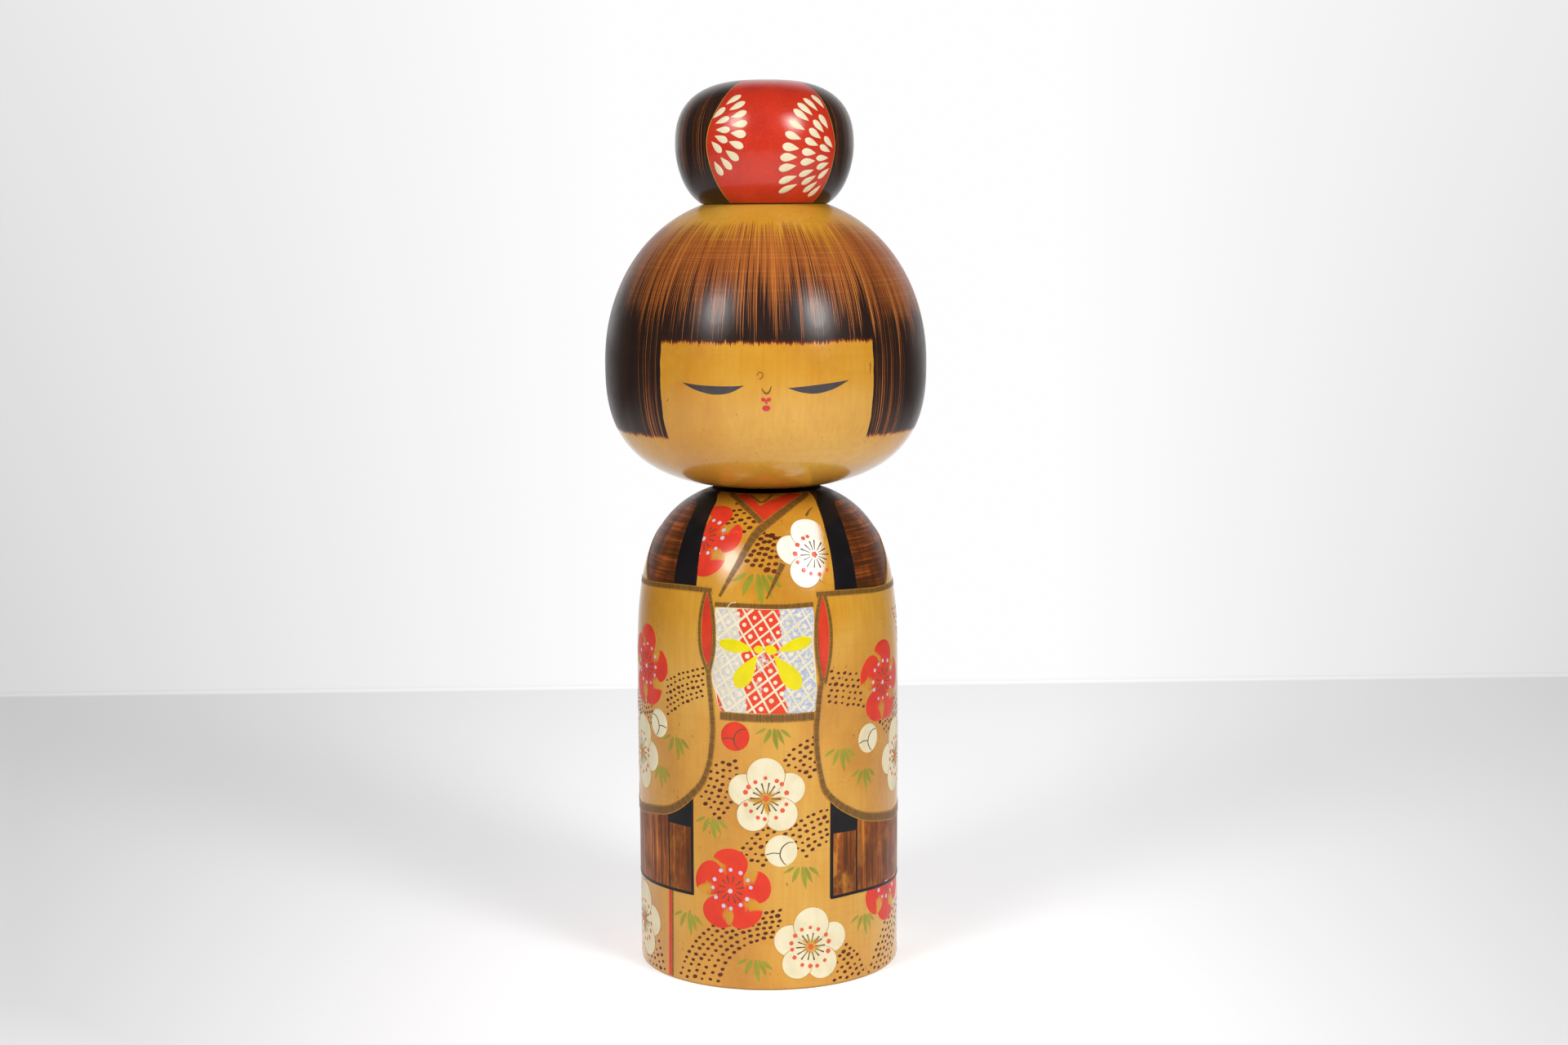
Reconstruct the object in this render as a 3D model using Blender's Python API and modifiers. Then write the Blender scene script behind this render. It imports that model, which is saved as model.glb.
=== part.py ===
"""Kokeshi doll: a standing wooden doll in three turned pieces, joined by two dowels.

torso          the kimono body, a near-cylinder with a domed shoulder and a flat foot
neck_dowel     glued into the torso; the head turns on it
head           a flattened ball with a socket at each pole
topknot_dowel  glued into the head
topknot        the hair bun, glued onto its dowel

The origin is the centre of the foot, +Z is up and the face looks along -Y.
Run it with: blender --background --python part.py
"""

import math

import bpy

MM = 0.001

# ---------------------------------------------------------------- driving dimensions
DOLL_HEIGHT = 303.0 * MM  # one shaku, a standard kokeshi height
NECK_Z = 165.0 * MM  # flat on top of the torso, where the head rests
CROWN_Z = 261.6 * MM  # flat on top of the head, where the topknot rests
GAP = 0.3 * MM  # air between neighbouring pieces

TORSO_FOOT_RADIUS = 44.8 * MM
TORSO_RADIUS = 45.0 * MM
TORSO_SHOULDER_Z = 89.0 * MM  # height at which the side starts to curve inwards
TORSO_DOME_HEIGHT = 78.0 * MM
TORSO_EDGE = 0.8 * MM  # rounding of the foot's edge

HEAD_RADIUS = 54.85 * MM
HEAD_WIDEST_Z = 208.2 * MM
HEAD_UPPER_HEIGHT = 56.5 * MM
HEAD_LOWER_HEIGHT = 42.7 * MM
CHIN_FLAT_RADIUS = 13.0 * MM

BUN_RADIUS = 30.25 * MM
BUN_WIDEST_Z = 280.9 * MM
BUN_UPPER_HEIGHT = DOLL_HEIGHT - BUN_WIDEST_Z
BUN_LOWER_HEIGHT = 22.1 * MM

# Each turned curve is a superellipse: radius = R * (1 - t**n) ** (1 / m)
TORSO_CURVE = (4.0, 2.55)
HEAD_UPPER_CURVE = (2.03, 2.28)
HEAD_LOWER_CURVE = (2.67, 2.73)
BUN_UPPER_CURVE = (2.52, 2.84)
BUN_LOWER_CURVE = (1.71, 4.54)

NECK_DOWEL_RADIUS = 7.5 * MM
NECK_DOWEL_BELOW = 24.0 * MM  # depth in the torso
NECK_DOWEL_ABOVE = 22.0 * MM  # depth in the head
BUN_DOWEL_RADIUS = 5.0 * MM
BUN_DOWEL_BELOW = 18.0 * MM
BUN_DOWEL_ABOVE = 16.0 * MM
SOCKET_END_GAP = 1.0 * MM  # room past each end of a dowel
CHAMFER = 1.0 * MM

PRONG_COUNT = 4  # marks left in the foot by the lathe's drive
PRONG_LENGTH = 7.0 * MM
PRONG_WIDTH = 1.6 * MM
PRONG_DEPTH = 1.8 * MM
PRONG_RING_RADIUS = 9.0 * MM

TURNED_STEPS = 64
DOWEL_STEPS = 32
CURVE_POINTS = 12
EDGE_POINTS = 3
MERGE_DISTANCE = 0.00001

# ---------------------------------------------------------------- colours
OCHRE_WOOD = (0.62, 0.36, 0.08)
HAIR_BROWN = (0.16, 0.06, 0.025)
PALE_WOOD = (0.70, 0.52, 0.30)


def clear_scene():
    for old in list(bpy.data.objects):
        bpy.data.objects.remove(old)


def new_collection(name):
    collection = bpy.data.collections.new(name)
    bpy.context.scene.collection.children.link(collection)
    return collection


def wood(name, colour, roughness):
    material = bpy.data.materials.new(name)
    material.use_nodes = True
    shader = material.node_tree.nodes["Principled BSDF"]
    shader.inputs["Base Color"].default_value = (*colour, 1.0)
    shader.inputs["Roughness"].default_value = roughness
    shader.inputs["Metallic"].default_value = 0.0
    return material


def superellipse(radius, height, curve, t):
    """Radius at the share t of the height, 0 at the widest place and 1 at the pole."""
    n, m = curve
    return radius * max(0.0, 1.0 - t**n) ** (1.0 / m)


def rising_curve(radius, height, curve, base_z, top_z):
    """Points of an upper curve from top_z down to base_z, closer together near the pole."""
    end = math.asin(min(1.0, (top_z - base_z) / height))
    shares = [math.sin(end * (1 - i / CURVE_POINTS)) for i in range(CURVE_POINTS + 1)]
    return [(superellipse(radius, height, curve, t), base_z + t * height) for t in shares]


def falling_curve(radius, height, curve, widest_z, bottom_z):
    """Points of a lower curve from just under widest_z down to bottom_z."""
    end = math.asin(min(1.0, (widest_z - bottom_z) / height))
    shares = [math.sin(end * i / CURVE_POINTS) for i in range(1, CURVE_POINTS + 1)]
    return [(superellipse(radius, height, curve, t), widest_z - t * height) for t in shares]


def turned(name, profile, steps, material, collection):
    """A solid of revolution about Z. The profile holds (radius, z) and runs down the outer side."""
    mesh = bpy.data.meshes.new(name)
    points = [(radius, 0.0, z) for radius, z in profile]
    mesh.from_pydata(points, [(i, i + 1) for i in range(len(points) - 1)], [])
    solid = bpy.data.objects.new(name, mesh)
    collection.objects.link(solid)
    screw = solid.modifiers.new("lathe", "SCREW")
    screw.axis = "Z"
    screw.steps = steps
    screw.render_steps = steps
    screw.use_merge_vertices = True
    screw.merge_threshold = MERGE_DISTANCE
    screw.use_smooth_shade = True
    mesh.materials.append(material)
    return solid


def torso_profile():
    socket = NECK_DOWEL_RADIUS + GAP
    floor = NECK_Z - NECK_DOWEL_BELOW - SOCKET_END_GAP
    shoulder = rising_curve(TORSO_RADIUS, TORSO_DOME_HEIGHT, TORSO_CURVE, TORSO_SHOULDER_Z, NECK_Z)
    edge = []
    for i in range(EDGE_POINTS + 1):
        turn = 0.5 * math.pi * i / EDGE_POINTS
        out = TORSO_FOOT_RADIUS - TORSO_EDGE * (1 - math.cos(turn))
        edge.append((out, TORSO_EDGE * (1 - math.sin(turn))))
    return [(0, floor), (socket, floor), (socket, NECK_Z)] + shoulder + edge + [(0, 0)]


def head_profile():
    top_socket = BUN_DOWEL_RADIUS + GAP
    top_floor = CROWN_Z - BUN_DOWEL_BELOW - SOCKET_END_GAP
    low_socket = NECK_DOWEL_RADIUS + GAP
    low_roof = NECK_Z + NECK_DOWEL_ABOVE + SOCKET_END_GAP
    chin_z = NECK_Z + GAP
    # Height at which the lower curve has come in to the chin's flat disc
    n, m = HEAD_LOWER_CURVE
    share = (1.0 - (CHIN_FLAT_RADIUS / HEAD_RADIUS) ** m) ** (1.0 / n)
    curve_end = HEAD_WIDEST_Z - share * HEAD_LOWER_HEIGHT
    upper = rising_curve(HEAD_RADIUS, HEAD_UPPER_HEIGHT, HEAD_UPPER_CURVE, HEAD_WIDEST_Z, CROWN_Z)
    lower = falling_curve(
        HEAD_RADIUS, HEAD_LOWER_HEIGHT, HEAD_LOWER_CURVE, HEAD_WIDEST_Z, curve_end
    )
    chin_edge = (CHIN_FLAT_RADIUS - CHAMFER, chin_z)
    return (
        [(0, top_floor), (top_socket, top_floor), (top_socket, CROWN_Z)]
        + upper
        + lower
        + [chin_edge, (low_socket, chin_z), (low_socket, low_roof), (0, low_roof)]
    )


def topknot_profile():
    socket = BUN_DOWEL_RADIUS + GAP
    foot = CROWN_Z + GAP
    roof = CROWN_Z + BUN_DOWEL_ABOVE + SOCKET_END_GAP
    upper = rising_curve(BUN_RADIUS, BUN_UPPER_HEIGHT, BUN_UPPER_CURVE, BUN_WIDEST_Z, DOLL_HEIGHT)
    lower = falling_curve(BUN_RADIUS, BUN_LOWER_HEIGHT, BUN_LOWER_CURVE, BUN_WIDEST_Z, foot)
    return upper + lower + [(socket, foot), (socket, roof), (0, roof)]


def dowel_profile(radius, low, high):
    return [
        (0, high),
        (radius - CHAMFER, high),
        (radius, high - CHAMFER),
        (radius, low + CHAMFER),
        (radius - CHAMFER, low),
        (0, low),
    ]


def prong_cutter(index, collection):
    """A wedge-shaped slot's cutter, set round the foot's centre."""
    turn = 2 * math.pi * (index + 0.5) / PRONG_COUNT
    bpy.ops.mesh.primitive_cube_add(size=1.0)
    cutter = bpy.context.active_object
    cutter.name = f"prong_cutter_{index}"
    for vertex in cutter.data.vertices:
        vertex.co.x *= PRONG_LENGTH
        vertex.co.y *= PRONG_WIDTH
        vertex.co.z *= 2 * PRONG_DEPTH
    cutter.location = (
        PRONG_RING_RADIUS * math.cos(turn),
        PRONG_RING_RADIUS * math.sin(turn),
        0.0,
    )
    cutter.rotation_euler.z = turn
    cutter.hide_render = True
    cutter.display_type = "WIRE"
    for home in cutter.users_collection:
        home.objects.unlink(cutter)
    collection.objects.link(cutter)
    return cutter


def cut(solid, cutter):
    boolean = solid.modifiers.new(cutter.name, "BOOLEAN")
    boolean.operation = "DIFFERENCE"
    boolean.solver = "EXACT"
    boolean.object = cutter


def main():
    clear_scene()
    doll = new_collection("kokeshi_doll")
    cutters = new_collection("cutters")
    painted_wood = wood("ochre_wood", OCHRE_WOOD, 0.35)
    hair_wood = wood("hair_brown_wood", HAIR_BROWN, 0.35)
    bare_wood = wood("bare_dowel_wood", PALE_WOOD, 0.7)

    torso = turned("torso", torso_profile(), TURNED_STEPS, painted_wood, doll)
    for index in range(PRONG_COUNT):
        cut(torso, prong_cutter(index, cutters))
    neck_dowel = dowel_profile(
        NECK_DOWEL_RADIUS, NECK_Z - NECK_DOWEL_BELOW, NECK_Z + NECK_DOWEL_ABOVE
    )
    turned("neck_dowel", neck_dowel, DOWEL_STEPS, bare_wood, doll)

    head = turned("head", head_profile(), TURNED_STEPS, painted_wood, doll)
    bun_dowel = dowel_profile(
        BUN_DOWEL_RADIUS, CROWN_Z - BUN_DOWEL_BELOW, CROWN_Z + BUN_DOWEL_ABOVE
    )
    topknot_dowel = turned("topknot_dowel", bun_dowel, DOWEL_STEPS, bare_wood, doll)
    topknot = turned("topknot", topknot_profile(), TURNED_STEPS, hair_wood, doll)

    # The head, its dowel and the topknot turn together about the neck dowel's axis
    swivel = bpy.data.objects.new("head_swivel_axis", None)
    swivel.location = (0.0, 0.0, NECK_Z)
    doll.objects.link(swivel)
    for piece in (head, topknot_dowel, topknot):
        piece.parent = swivel
        piece.location = (0.0, 0.0, -NECK_Z)


main()
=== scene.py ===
"""Looks of a painted wooden kokeshi doll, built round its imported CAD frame.

The turned wood is a fine lathe solid in the place of each CAD node. Painted motifs are thin
closed patches lying on the turned surface. A place on a surface is an angle in degrees about Z,
0 at the face and positive to the viewer's right, with a height in millimetres above the foot.
"""

import math

import bmesh
import bpy
import numpy as np
from mathutils import Matrix, Vector


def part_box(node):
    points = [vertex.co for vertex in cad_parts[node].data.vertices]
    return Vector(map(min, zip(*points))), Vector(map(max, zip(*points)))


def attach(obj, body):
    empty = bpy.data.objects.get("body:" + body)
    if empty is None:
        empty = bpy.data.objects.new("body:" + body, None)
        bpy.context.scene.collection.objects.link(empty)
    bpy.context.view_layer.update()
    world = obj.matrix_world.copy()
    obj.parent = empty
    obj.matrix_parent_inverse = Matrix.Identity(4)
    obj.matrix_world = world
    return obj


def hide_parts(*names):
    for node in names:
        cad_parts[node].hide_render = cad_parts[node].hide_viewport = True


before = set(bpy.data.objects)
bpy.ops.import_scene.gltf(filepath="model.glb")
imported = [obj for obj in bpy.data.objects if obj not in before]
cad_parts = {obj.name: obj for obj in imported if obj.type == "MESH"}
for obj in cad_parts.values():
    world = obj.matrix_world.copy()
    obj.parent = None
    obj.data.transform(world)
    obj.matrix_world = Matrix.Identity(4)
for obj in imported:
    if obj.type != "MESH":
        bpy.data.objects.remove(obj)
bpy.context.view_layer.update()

MM = 0.001
GAP = 0.3 * MM
chance = np.random.default_rng(1107)

# ---------------------------------------------------------------- sizes, from the CAD nodes
torso_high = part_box("torso")[1]
head_low, head_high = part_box("head")
bun_low, bun_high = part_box("topknot")
neck_pin_low, neck_pin_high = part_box("neck_dowel")
bun_pin_low, bun_pin_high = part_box("topknot_dowel")

NECK_Z = torso_high.z
CROWN_Z = head_high.z
TORSO_RADIUS = torso_high.x
TORSO_FOOT_RADIUS = TORSO_RADIUS - 0.2 * MM
TORSO_SHOULDER_Z = 89.0 * MM
TORSO_DOME_HEIGHT = 78.0 * MM
TORSO_EDGE = 0.8 * MM
HEAD_RADIUS = head_high.x
HEAD_WIDEST_Z = 208.2 * MM
HEAD_UPPER_HEIGHT = 56.5 * MM
HEAD_LOWER_HEIGHT = 42.7 * MM
CHIN_FLAT_RADIUS = 13.0 * MM
CHIN_CHAMFER = 1.0 * MM
BUN_RADIUS = bun_high.x
BUN_WIDEST_Z = 280.9 * MM
BUN_UPPER_HEIGHT = bun_high.z - BUN_WIDEST_Z
BUN_LOWER_HEIGHT = 22.1 * MM
SOCKET_END_GAP = 1.0 * MM

# Each turned curve is a superellipse: radius = R * (1 - t**n) ** (1 / m)
TORSO_CURVE = (4.0, 2.55)
HEAD_UPPER_CURVE = (2.03, 2.28)
HEAD_LOWER_CURVE = (2.67, 2.73)
BUN_UPPER_CURVE = (2.52, 2.84)
BUN_LOWER_CURVE = (1.71, 4.54)


def superellipse(radius, curve, t):
    """The radius at a share t of the way up or down a curve."""
    n, m = curve
    return radius * max(0.0, 1.0 - min(max(t, 0.0), 1.0) ** n) ** (1.0 / m)


def torso_radius(z):
    if z < TORSO_SHOULDER_Z:
        share = z / TORSO_SHOULDER_Z
        return TORSO_FOOT_RADIUS + (TORSO_RADIUS - TORSO_FOOT_RADIUS) * share
    t = (z - TORSO_SHOULDER_Z) / TORSO_DOME_HEIGHT
    return superellipse(TORSO_RADIUS, TORSO_CURVE, t)


def head_radius(z):
    if z > HEAD_WIDEST_Z:
        return superellipse(HEAD_RADIUS, HEAD_UPPER_CURVE, (z - HEAD_WIDEST_Z) / HEAD_UPPER_HEIGHT)
    return superellipse(HEAD_RADIUS, HEAD_LOWER_CURVE, (HEAD_WIDEST_Z - z) / HEAD_LOWER_HEIGHT)


def bun_radius(z):
    if z > BUN_WIDEST_Z:
        return superellipse(BUN_RADIUS, BUN_UPPER_CURVE, (z - BUN_WIDEST_Z) / BUN_UPPER_HEIGHT)
    return superellipse(BUN_RADIUS, BUN_LOWER_CURVE, (BUN_WIDEST_Z - z) / BUN_LOWER_HEIGHT)


LEAST_RADIUS = 2.0 * MM  # near the axis an angle would be without limit


class Surface:
    """The outside of a turned piece: radius against height, and lengths along its outline."""

    def __init__(self, radius_at, low, high):
        self.z = np.linspace(low, high, 6000)
        self.r = np.array([radius_at(z) for z in self.z])
        steps = np.hypot(np.diff(self.z), np.diff(self.r))
        self.s = np.concatenate([[0.0], np.cumsum(steps)])
        self.rise = np.gradient(self.z, self.s)
        self.swell = np.gradient(self.r, self.s)

    def radius(self, z):
        return np.interp(z, self.z, self.r)

    def along(self, z, distance):
        """The height reached by going a distance up the outline from z, which may be below it."""
        length = np.interp(z, self.z, self.s) + np.minimum(z - self.z[0], 0.0) + distance
        return np.interp(length, self.s, self.z) + np.minimum(length, 0.0)

    def local(self, angle, z, across, up):
        """Angle and height of points given in metres across and up from a centre."""
        height = self.along(z, up)
        return angle + np.degrees(across / np.maximum(self.radius(height), LEAST_RADIUS)), height

    def place(self, angle, z, lift):
        turn = np.radians(angle)
        out = self.radius(z) + lift * np.interp(z, self.z, self.rise)
        height = z - lift * np.interp(z, self.z, self.swell)
        return np.stack([out * np.sin(turn), -out * np.cos(turn), height], axis=-1)


BODY = Surface(torso_radius, TORSO_EDGE, NECK_Z)
HEAD = Surface(head_radius, head_low.z + 0.4 * MM, CROWN_Z)
BUN = Surface(bun_radius, bun_low.z, bun_high.z - 0.02 * MM)  # up to just short of its pole


# ---------------------------------------------------------------- turned wood
def curve_points(radius, height, curve, start, end, steps):
    """Points from the share start to the share end of a curve, closer near the pole."""
    first, last = math.asin(min(1.0, start)), math.asin(min(1.0, end))
    shares = [math.sin(first + (last - first) * i / steps) for i in range(steps + 1)]
    return [(superellipse(radius, curve, t), t * height) for t in shares]


def linked(name, data):
    made = bpy.data.objects.new(name, data)
    bpy.context.scene.collection.objects.link(made)
    return made


ON_AXIS = 1e-7


def lathe(name, profile, steps):
    """A closed solid of revolution. The profile starts and ends on the axis."""
    mesh = bmesh.new()
    rings = []
    for radius, z in profile:
        if radius < ON_AXIS:
            rings.append([mesh.verts.new((0, 0, z))])
            continue
        turns = [2 * math.pi * k / steps for k in range(steps)]
        rings.append([mesh.verts.new((radius * math.sin(a), -radius * math.cos(a), z)) for a in turns])
    for upper, lower in zip(rings, rings[1:]):
        for k in range(steps):
            n = (k + 1) % steps
            if len(upper) == 1:
                mesh.faces.new((upper[0], lower[k], lower[n]))
            elif len(lower) == 1:
                mesh.faces.new((upper[n], upper[k], lower[0]))
            else:
                mesh.faces.new((upper[k], lower[k], lower[n], upper[n]))
    bmesh.ops.recalc_face_normals(mesh, faces=mesh.faces)
    data = bpy.data.meshes.new(name)
    mesh.to_mesh(data)
    mesh.free()
    return linked(name, data)


def smooth(solid, angle=35):
    solid.data.shade_smooth()
    solid.data.set_sharp_from_angle(angle=math.radians(angle))


def torso_profile():
    socket = neck_pin_high.x + GAP
    floor = neck_pin_low.z - SOCKET_END_GAP
    top = (NECK_Z - TORSO_SHOULDER_Z) / TORSO_DOME_HEIGHT
    dome = curve_points(TORSO_RADIUS, TORSO_DOME_HEIGHT, TORSO_CURVE, top, 0.0, 90)
    shoulder = [(r, TORSO_SHOULDER_Z + z) for r, z in dome]
    heights = [TORSO_SHOULDER_Z + (TORSO_EDGE - TORSO_SHOULDER_Z) * i / 40 for i in range(1, 40)]
    side = [(torso_radius(z), z) for z in heights]
    edge = []
    for i in range(6):
        turn = 0.5 * math.pi * i / 5
        out = TORSO_FOOT_RADIUS - TORSO_EDGE * (1 - math.cos(turn))
        edge.append((out, TORSO_EDGE * (1 - math.sin(turn))))
    # The foot is flat, in rings
    foot = [(r * MM, 0.0) for r in (40, 34, 28, 22, 16, 11, 6, 2)]
    return [(0, floor), (socket, floor), (socket, NECK_Z)] + shoulder + side + edge + foot + [(0, 0)]


def head_profile():
    top_socket = bun_pin_high.x + GAP
    top_floor = bun_pin_low.z - SOCKET_END_GAP
    low_socket = neck_pin_high.x + GAP
    low_roof = neck_pin_high.z + SOCKET_END_GAP
    top = (CROWN_Z - HEAD_WIDEST_Z) / HEAD_UPPER_HEIGHT
    upper = curve_points(HEAD_RADIUS, HEAD_UPPER_HEIGHT, HEAD_UPPER_CURVE, top, 0.0, 80)
    n, m = HEAD_LOWER_CURVE
    chin = (1.0 - (CHIN_FLAT_RADIUS / HEAD_RADIUS) ** m) ** (1.0 / n)
    lower = curve_points(HEAD_RADIUS, HEAD_LOWER_HEIGHT, HEAD_LOWER_CURVE, 0.0, chin, 70)[1:]
    return (
        [(0, top_floor), (top_socket, top_floor), (top_socket, CROWN_Z)]
        + [(r, HEAD_WIDEST_Z + z) for r, z in upper]
        + [(r, HEAD_WIDEST_Z - z) for r, z in lower]
        + [(CHIN_FLAT_RADIUS - CHIN_CHAMFER, head_low.z), (low_socket, head_low.z)]
        + [(low_socket, low_roof), (0, low_roof)]
    )


def bun_profile():
    socket = bun_pin_high.x + GAP
    roof = bun_pin_high.z + SOCKET_END_GAP
    upper = curve_points(BUN_RADIUS, BUN_UPPER_HEIGHT, BUN_UPPER_CURVE, 1.0, 0.0, 70)
    low = (BUN_WIDEST_Z - CROWN_Z) / BUN_LOWER_HEIGHT
    lower = curve_points(BUN_RADIUS, BUN_LOWER_HEIGHT, BUN_LOWER_CURVE, 0.0, low, 60)[1:]
    return (
        [(r, BUN_WIDEST_Z + z) for r, z in upper]
        + [(r, BUN_WIDEST_Z - z) for r, z in lower]
        + [(socket, CROWN_Z), (socket, roof), (0, roof)]
    )


# ---------------------------------------------------------------- painted patches
SINK = 0.05 * MM  # how far the underside of a patch lies inside the wood
SPACING, COARSE = 1.3 * MM, 2.0 * MM  # between the points of a patch
THINNEST, TINY = 0.03 * MM, 1e-6 * MM
RADIAN = 57.3  # degrees, near enough to count and space by


def spline(points, steps=14):
    """A smooth curve through the points, as an array of angle and height."""
    p = np.array(points, float)
    if len(p) == 2:
        t = np.linspace(0, 1, steps + 1)[:, None]
        return p[0] * (1 - t) + p[1] * t
    p = np.vstack([2 * p[0] - p[1], p, 2 * p[-1] - p[-2]])
    found = []
    for a, b, c, d in zip(p, p[1:], p[2:], p[3:]):
        for t in np.arange(steps) / steps:
            found.append(
                0.5 * (2 * b + (c - a) * t + (2 * a - 5 * b + 4 * c - d) * t * t
                       + (3 * b - a - 3 * c + d) * t ** 3)
            )
    return np.array(found + [p[-2]])


def evenly(line, count):
    """The line with as many points as count, spread evenly over its own."""
    own, even = np.linspace(0, 1, len(line)), np.linspace(0, 1, count)
    return np.stack([np.interp(even, own, line[:, k]) for k in (0, 1)], -1)


def turned(x, y, degrees):
    """Points turned clockwise as the viewer sees them."""
    t = math.radians(degrees)
    return x * math.cos(t) + y * math.sin(t), -x * math.sin(t) + y * math.cos(t)


class Paint:
    """One painted piece: many thin closed patches on a turned surface, in one mesh."""

    def __init__(self, surface):
        self.surface = surface
        self.points, self.faces, self.cover, self.tone = [], [], [], []
        self.count = 0

    def add(self, angle, z, lift, cover, tone):
        angle, z = np.broadcast_arrays(np.asarray(angle, float), np.asarray(z, float))
        start, size = self.count, angle.size
        self.points.append(self.surface.place(angle.ravel(), z.ravel(), lift))
        for values, value in ((self.cover, cover), (self.tone, tone)):
            values.append(np.broadcast_to(np.asarray(value, float).ravel(), (size,)))
        self.count += size
        return start

    def grid(self, angle, z, lift, cover=1.0, tone=0.0):
        """A patch given by rows and columns of angles and heights."""
        rows, columns = angle.shape
        top = self.add(angle, z, lift, cover, tone)
        under = self.add(angle, z, -SINK, cover, tone)
        for i in range(rows - 1):
            for j in range(columns - 1):
                a = i * columns + j
                quad = (a, a + 1, a + columns + 1, a + columns)
                self.faces.append([top + v for v in quad])
                self.faces.append([under + v for v in reversed(quad)])
        rim = list(range(columns))
        rim += [i * columns + columns - 1 for i in range(1, rows)]
        rim += [(rows - 1) * columns + j for j in range(columns - 2, -1, -1)]
        rim += [i * columns for i in range(rows - 2, 0, -1)]
        for a, b in zip(rim, rim[1:] + rim[:1]):
            self.faces.append([top + b, top + a, under + a, under + b])

    def between(self, left, right, lift, spacing=SPACING):
        """A patch between two edges, each a list of (degrees, millimetres)."""
        edges = [spline(side, 10) for side in (left, right)]
        a, b = (evenly(side, max(map(len, edges))) for side in edges)
        reach = np.abs(b[:, 0] - a[:, 0]).max() / RADIAN * self.surface.r.max()
        columns = max(3, int(math.ceil(reach / spacing)) + 1)
        share = np.linspace(0, 1, columns)[None, :]
        angle = a[:, :1] * (1 - share) + b[:, :1] * share
        z = (a[:, 1:] * (1 - share) + b[:, 1:] * share) * MM
        self.grid(angle, z, lift)

    def fan(self, centre, across, up, lift, middle=(0.0, 0.0), cover=1.0, tone=0.0, dome=0.0):
        """A filled outline round its own middle. centre is its (degrees, millimetres) place."""
        angle0, z0 = centre[0], centre[1] * MM
        across, up = np.asarray(across, float) - middle[0], np.asarray(up, float) - middle[1]
        reach = np.hypot(across, up).max()
        rings = max(2, int(math.ceil(reach / SPACING)))
        shares = [k / rings for k in range(1, rings)] + [max(1 - 0.15 * MM / reach, 0.8), 1.0]
        lifts = [lift + dome * (1 - s * s) for s in shares[:-1]] + [lift * 0.55]

        def at(share, height):
            x, y = across * share + middle[0], up * share + middle[1]
            if not share:
                x, y = x[:1], y[:1]
            values = [value(x, y) if callable(value) else value for value in (cover, tone)]
            return self.add(*self.surface.local(angle0, z0, x, y), height, *values)

        count = len(across)
        starts = [at(s, h) for s, h in zip(shares, lifts)]
        starts.append(at(1.0, -SINK))
        top, under = at(0, lift + dome), at(0, -SINK * 1.5)
        for k in range(count):
            n = (k + 1) % count
            self.faces.append([top, starts[0] + k, starts[0] + n])
            for inner, outer in zip(starts, starts[1:]):
                self.faces.append([inner + k, outer + k, outer + n, inner + n])
            self.faces.append([starts[-1] + n, starts[-1] + k, under])

    def stroke(self, points, half_width, lift, soft=False, tone=0.0, centre=None, steps=12, taper=None,
               columns=5, cover=1.0):
        """A brush line through points, which are (degrees, mm), or mm across and up from a centre."""
        line = spline(points, steps)
        if centre is None:
            angle, z = line[:, 0], line[:, 1] * MM
        else:
            angle, z = self.surface.local(centre[0], centre[1] * MM, line[:, 0] * MM, line[:, 1] * MM)
        radius = self.surface.radius(z)
        length = np.interp(z, self.surface.z, self.surface.s)
        dx, ds = np.gradient(np.radians(angle)) * radius, np.gradient(length)
        size = np.maximum(np.hypot(dx, ds), TINY)
        nx, ns = -ds / size, dx / size
        share = np.linspace(0, 1, len(angle))
        width = np.maximum(half_width * (taper(share) if taper else np.ones_like(share)), THINNEST)
        offsets = np.linspace(-1, 1, columns)
        out_angle = angle[:, None] + np.degrees(nx * width / radius)[:, None] * offsets
        out_z = np.stack([self.surface.along(z, ns * width * e) for e in offsets], axis=-1)
        body = (1 - np.abs(offsets) ** 2) if soft else np.ones(columns)
        if tone == "length":
            tone = np.repeat(np.cumsum(size)[:, None] / MM, columns, axis=1)
        self.grid(out_angle, out_z, lift, np.full((len(share), 1), cover) * body[None, :], tone)

    def piece(self, name, material, body, slot):
        data = bpy.data.meshes.new(name)
        data.from_pydata(np.concatenate(self.points).tolist(), [], self.faces)
        for label, values in (("cover", self.cover), ("tone", self.tone)):
            layer = data.attributes.new(label, "FLOAT", "POINT")
            layer.data.foreach_set("value", np.concatenate(values).astype(np.float32))
        mesh = bmesh.new()
        mesh.from_mesh(data)
        bmesh.ops.recalc_face_normals(mesh, faces=mesh.faces)
        mesh.to_mesh(data)
        mesh.free()
        data.materials.append(material)
        made = linked(name, data)
        smooth(made, 40)
        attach(made, body)


# ---------------------------------------------------------------- materials
def srgb(text):
    """Linear colour from a hexadecimal sRGB one."""
    parts = [int(text[i : i + 2], 16) / 255 for i in (0, 2, 4)]
    return tuple(c / 12.92 if c < 0.04045 else ((c + 0.055) / 1.055) ** 2.4 for c in parts) + (1.0,)


OCHRE, OCHRE_LIGHT, OCHRE_DEEP = "cc9029", "d5a23f", "b87920"
# Painted shade among these: the dark at the foot's edge, and the dark on the torso's top under the head
FOOT_PAINTED_SHADE, FLECK, TOP_PAINTED_SHADE = "5d4020", "6b3f16", "241710"
BARE_WOOD, BARE_RING = "d8bd8e", "b8935f"
COAT_ROUGHNESS = 0.13
BUMP_STRENGTH, BUMP_DEPTH = 0.35, 0.02 * MM


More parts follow.
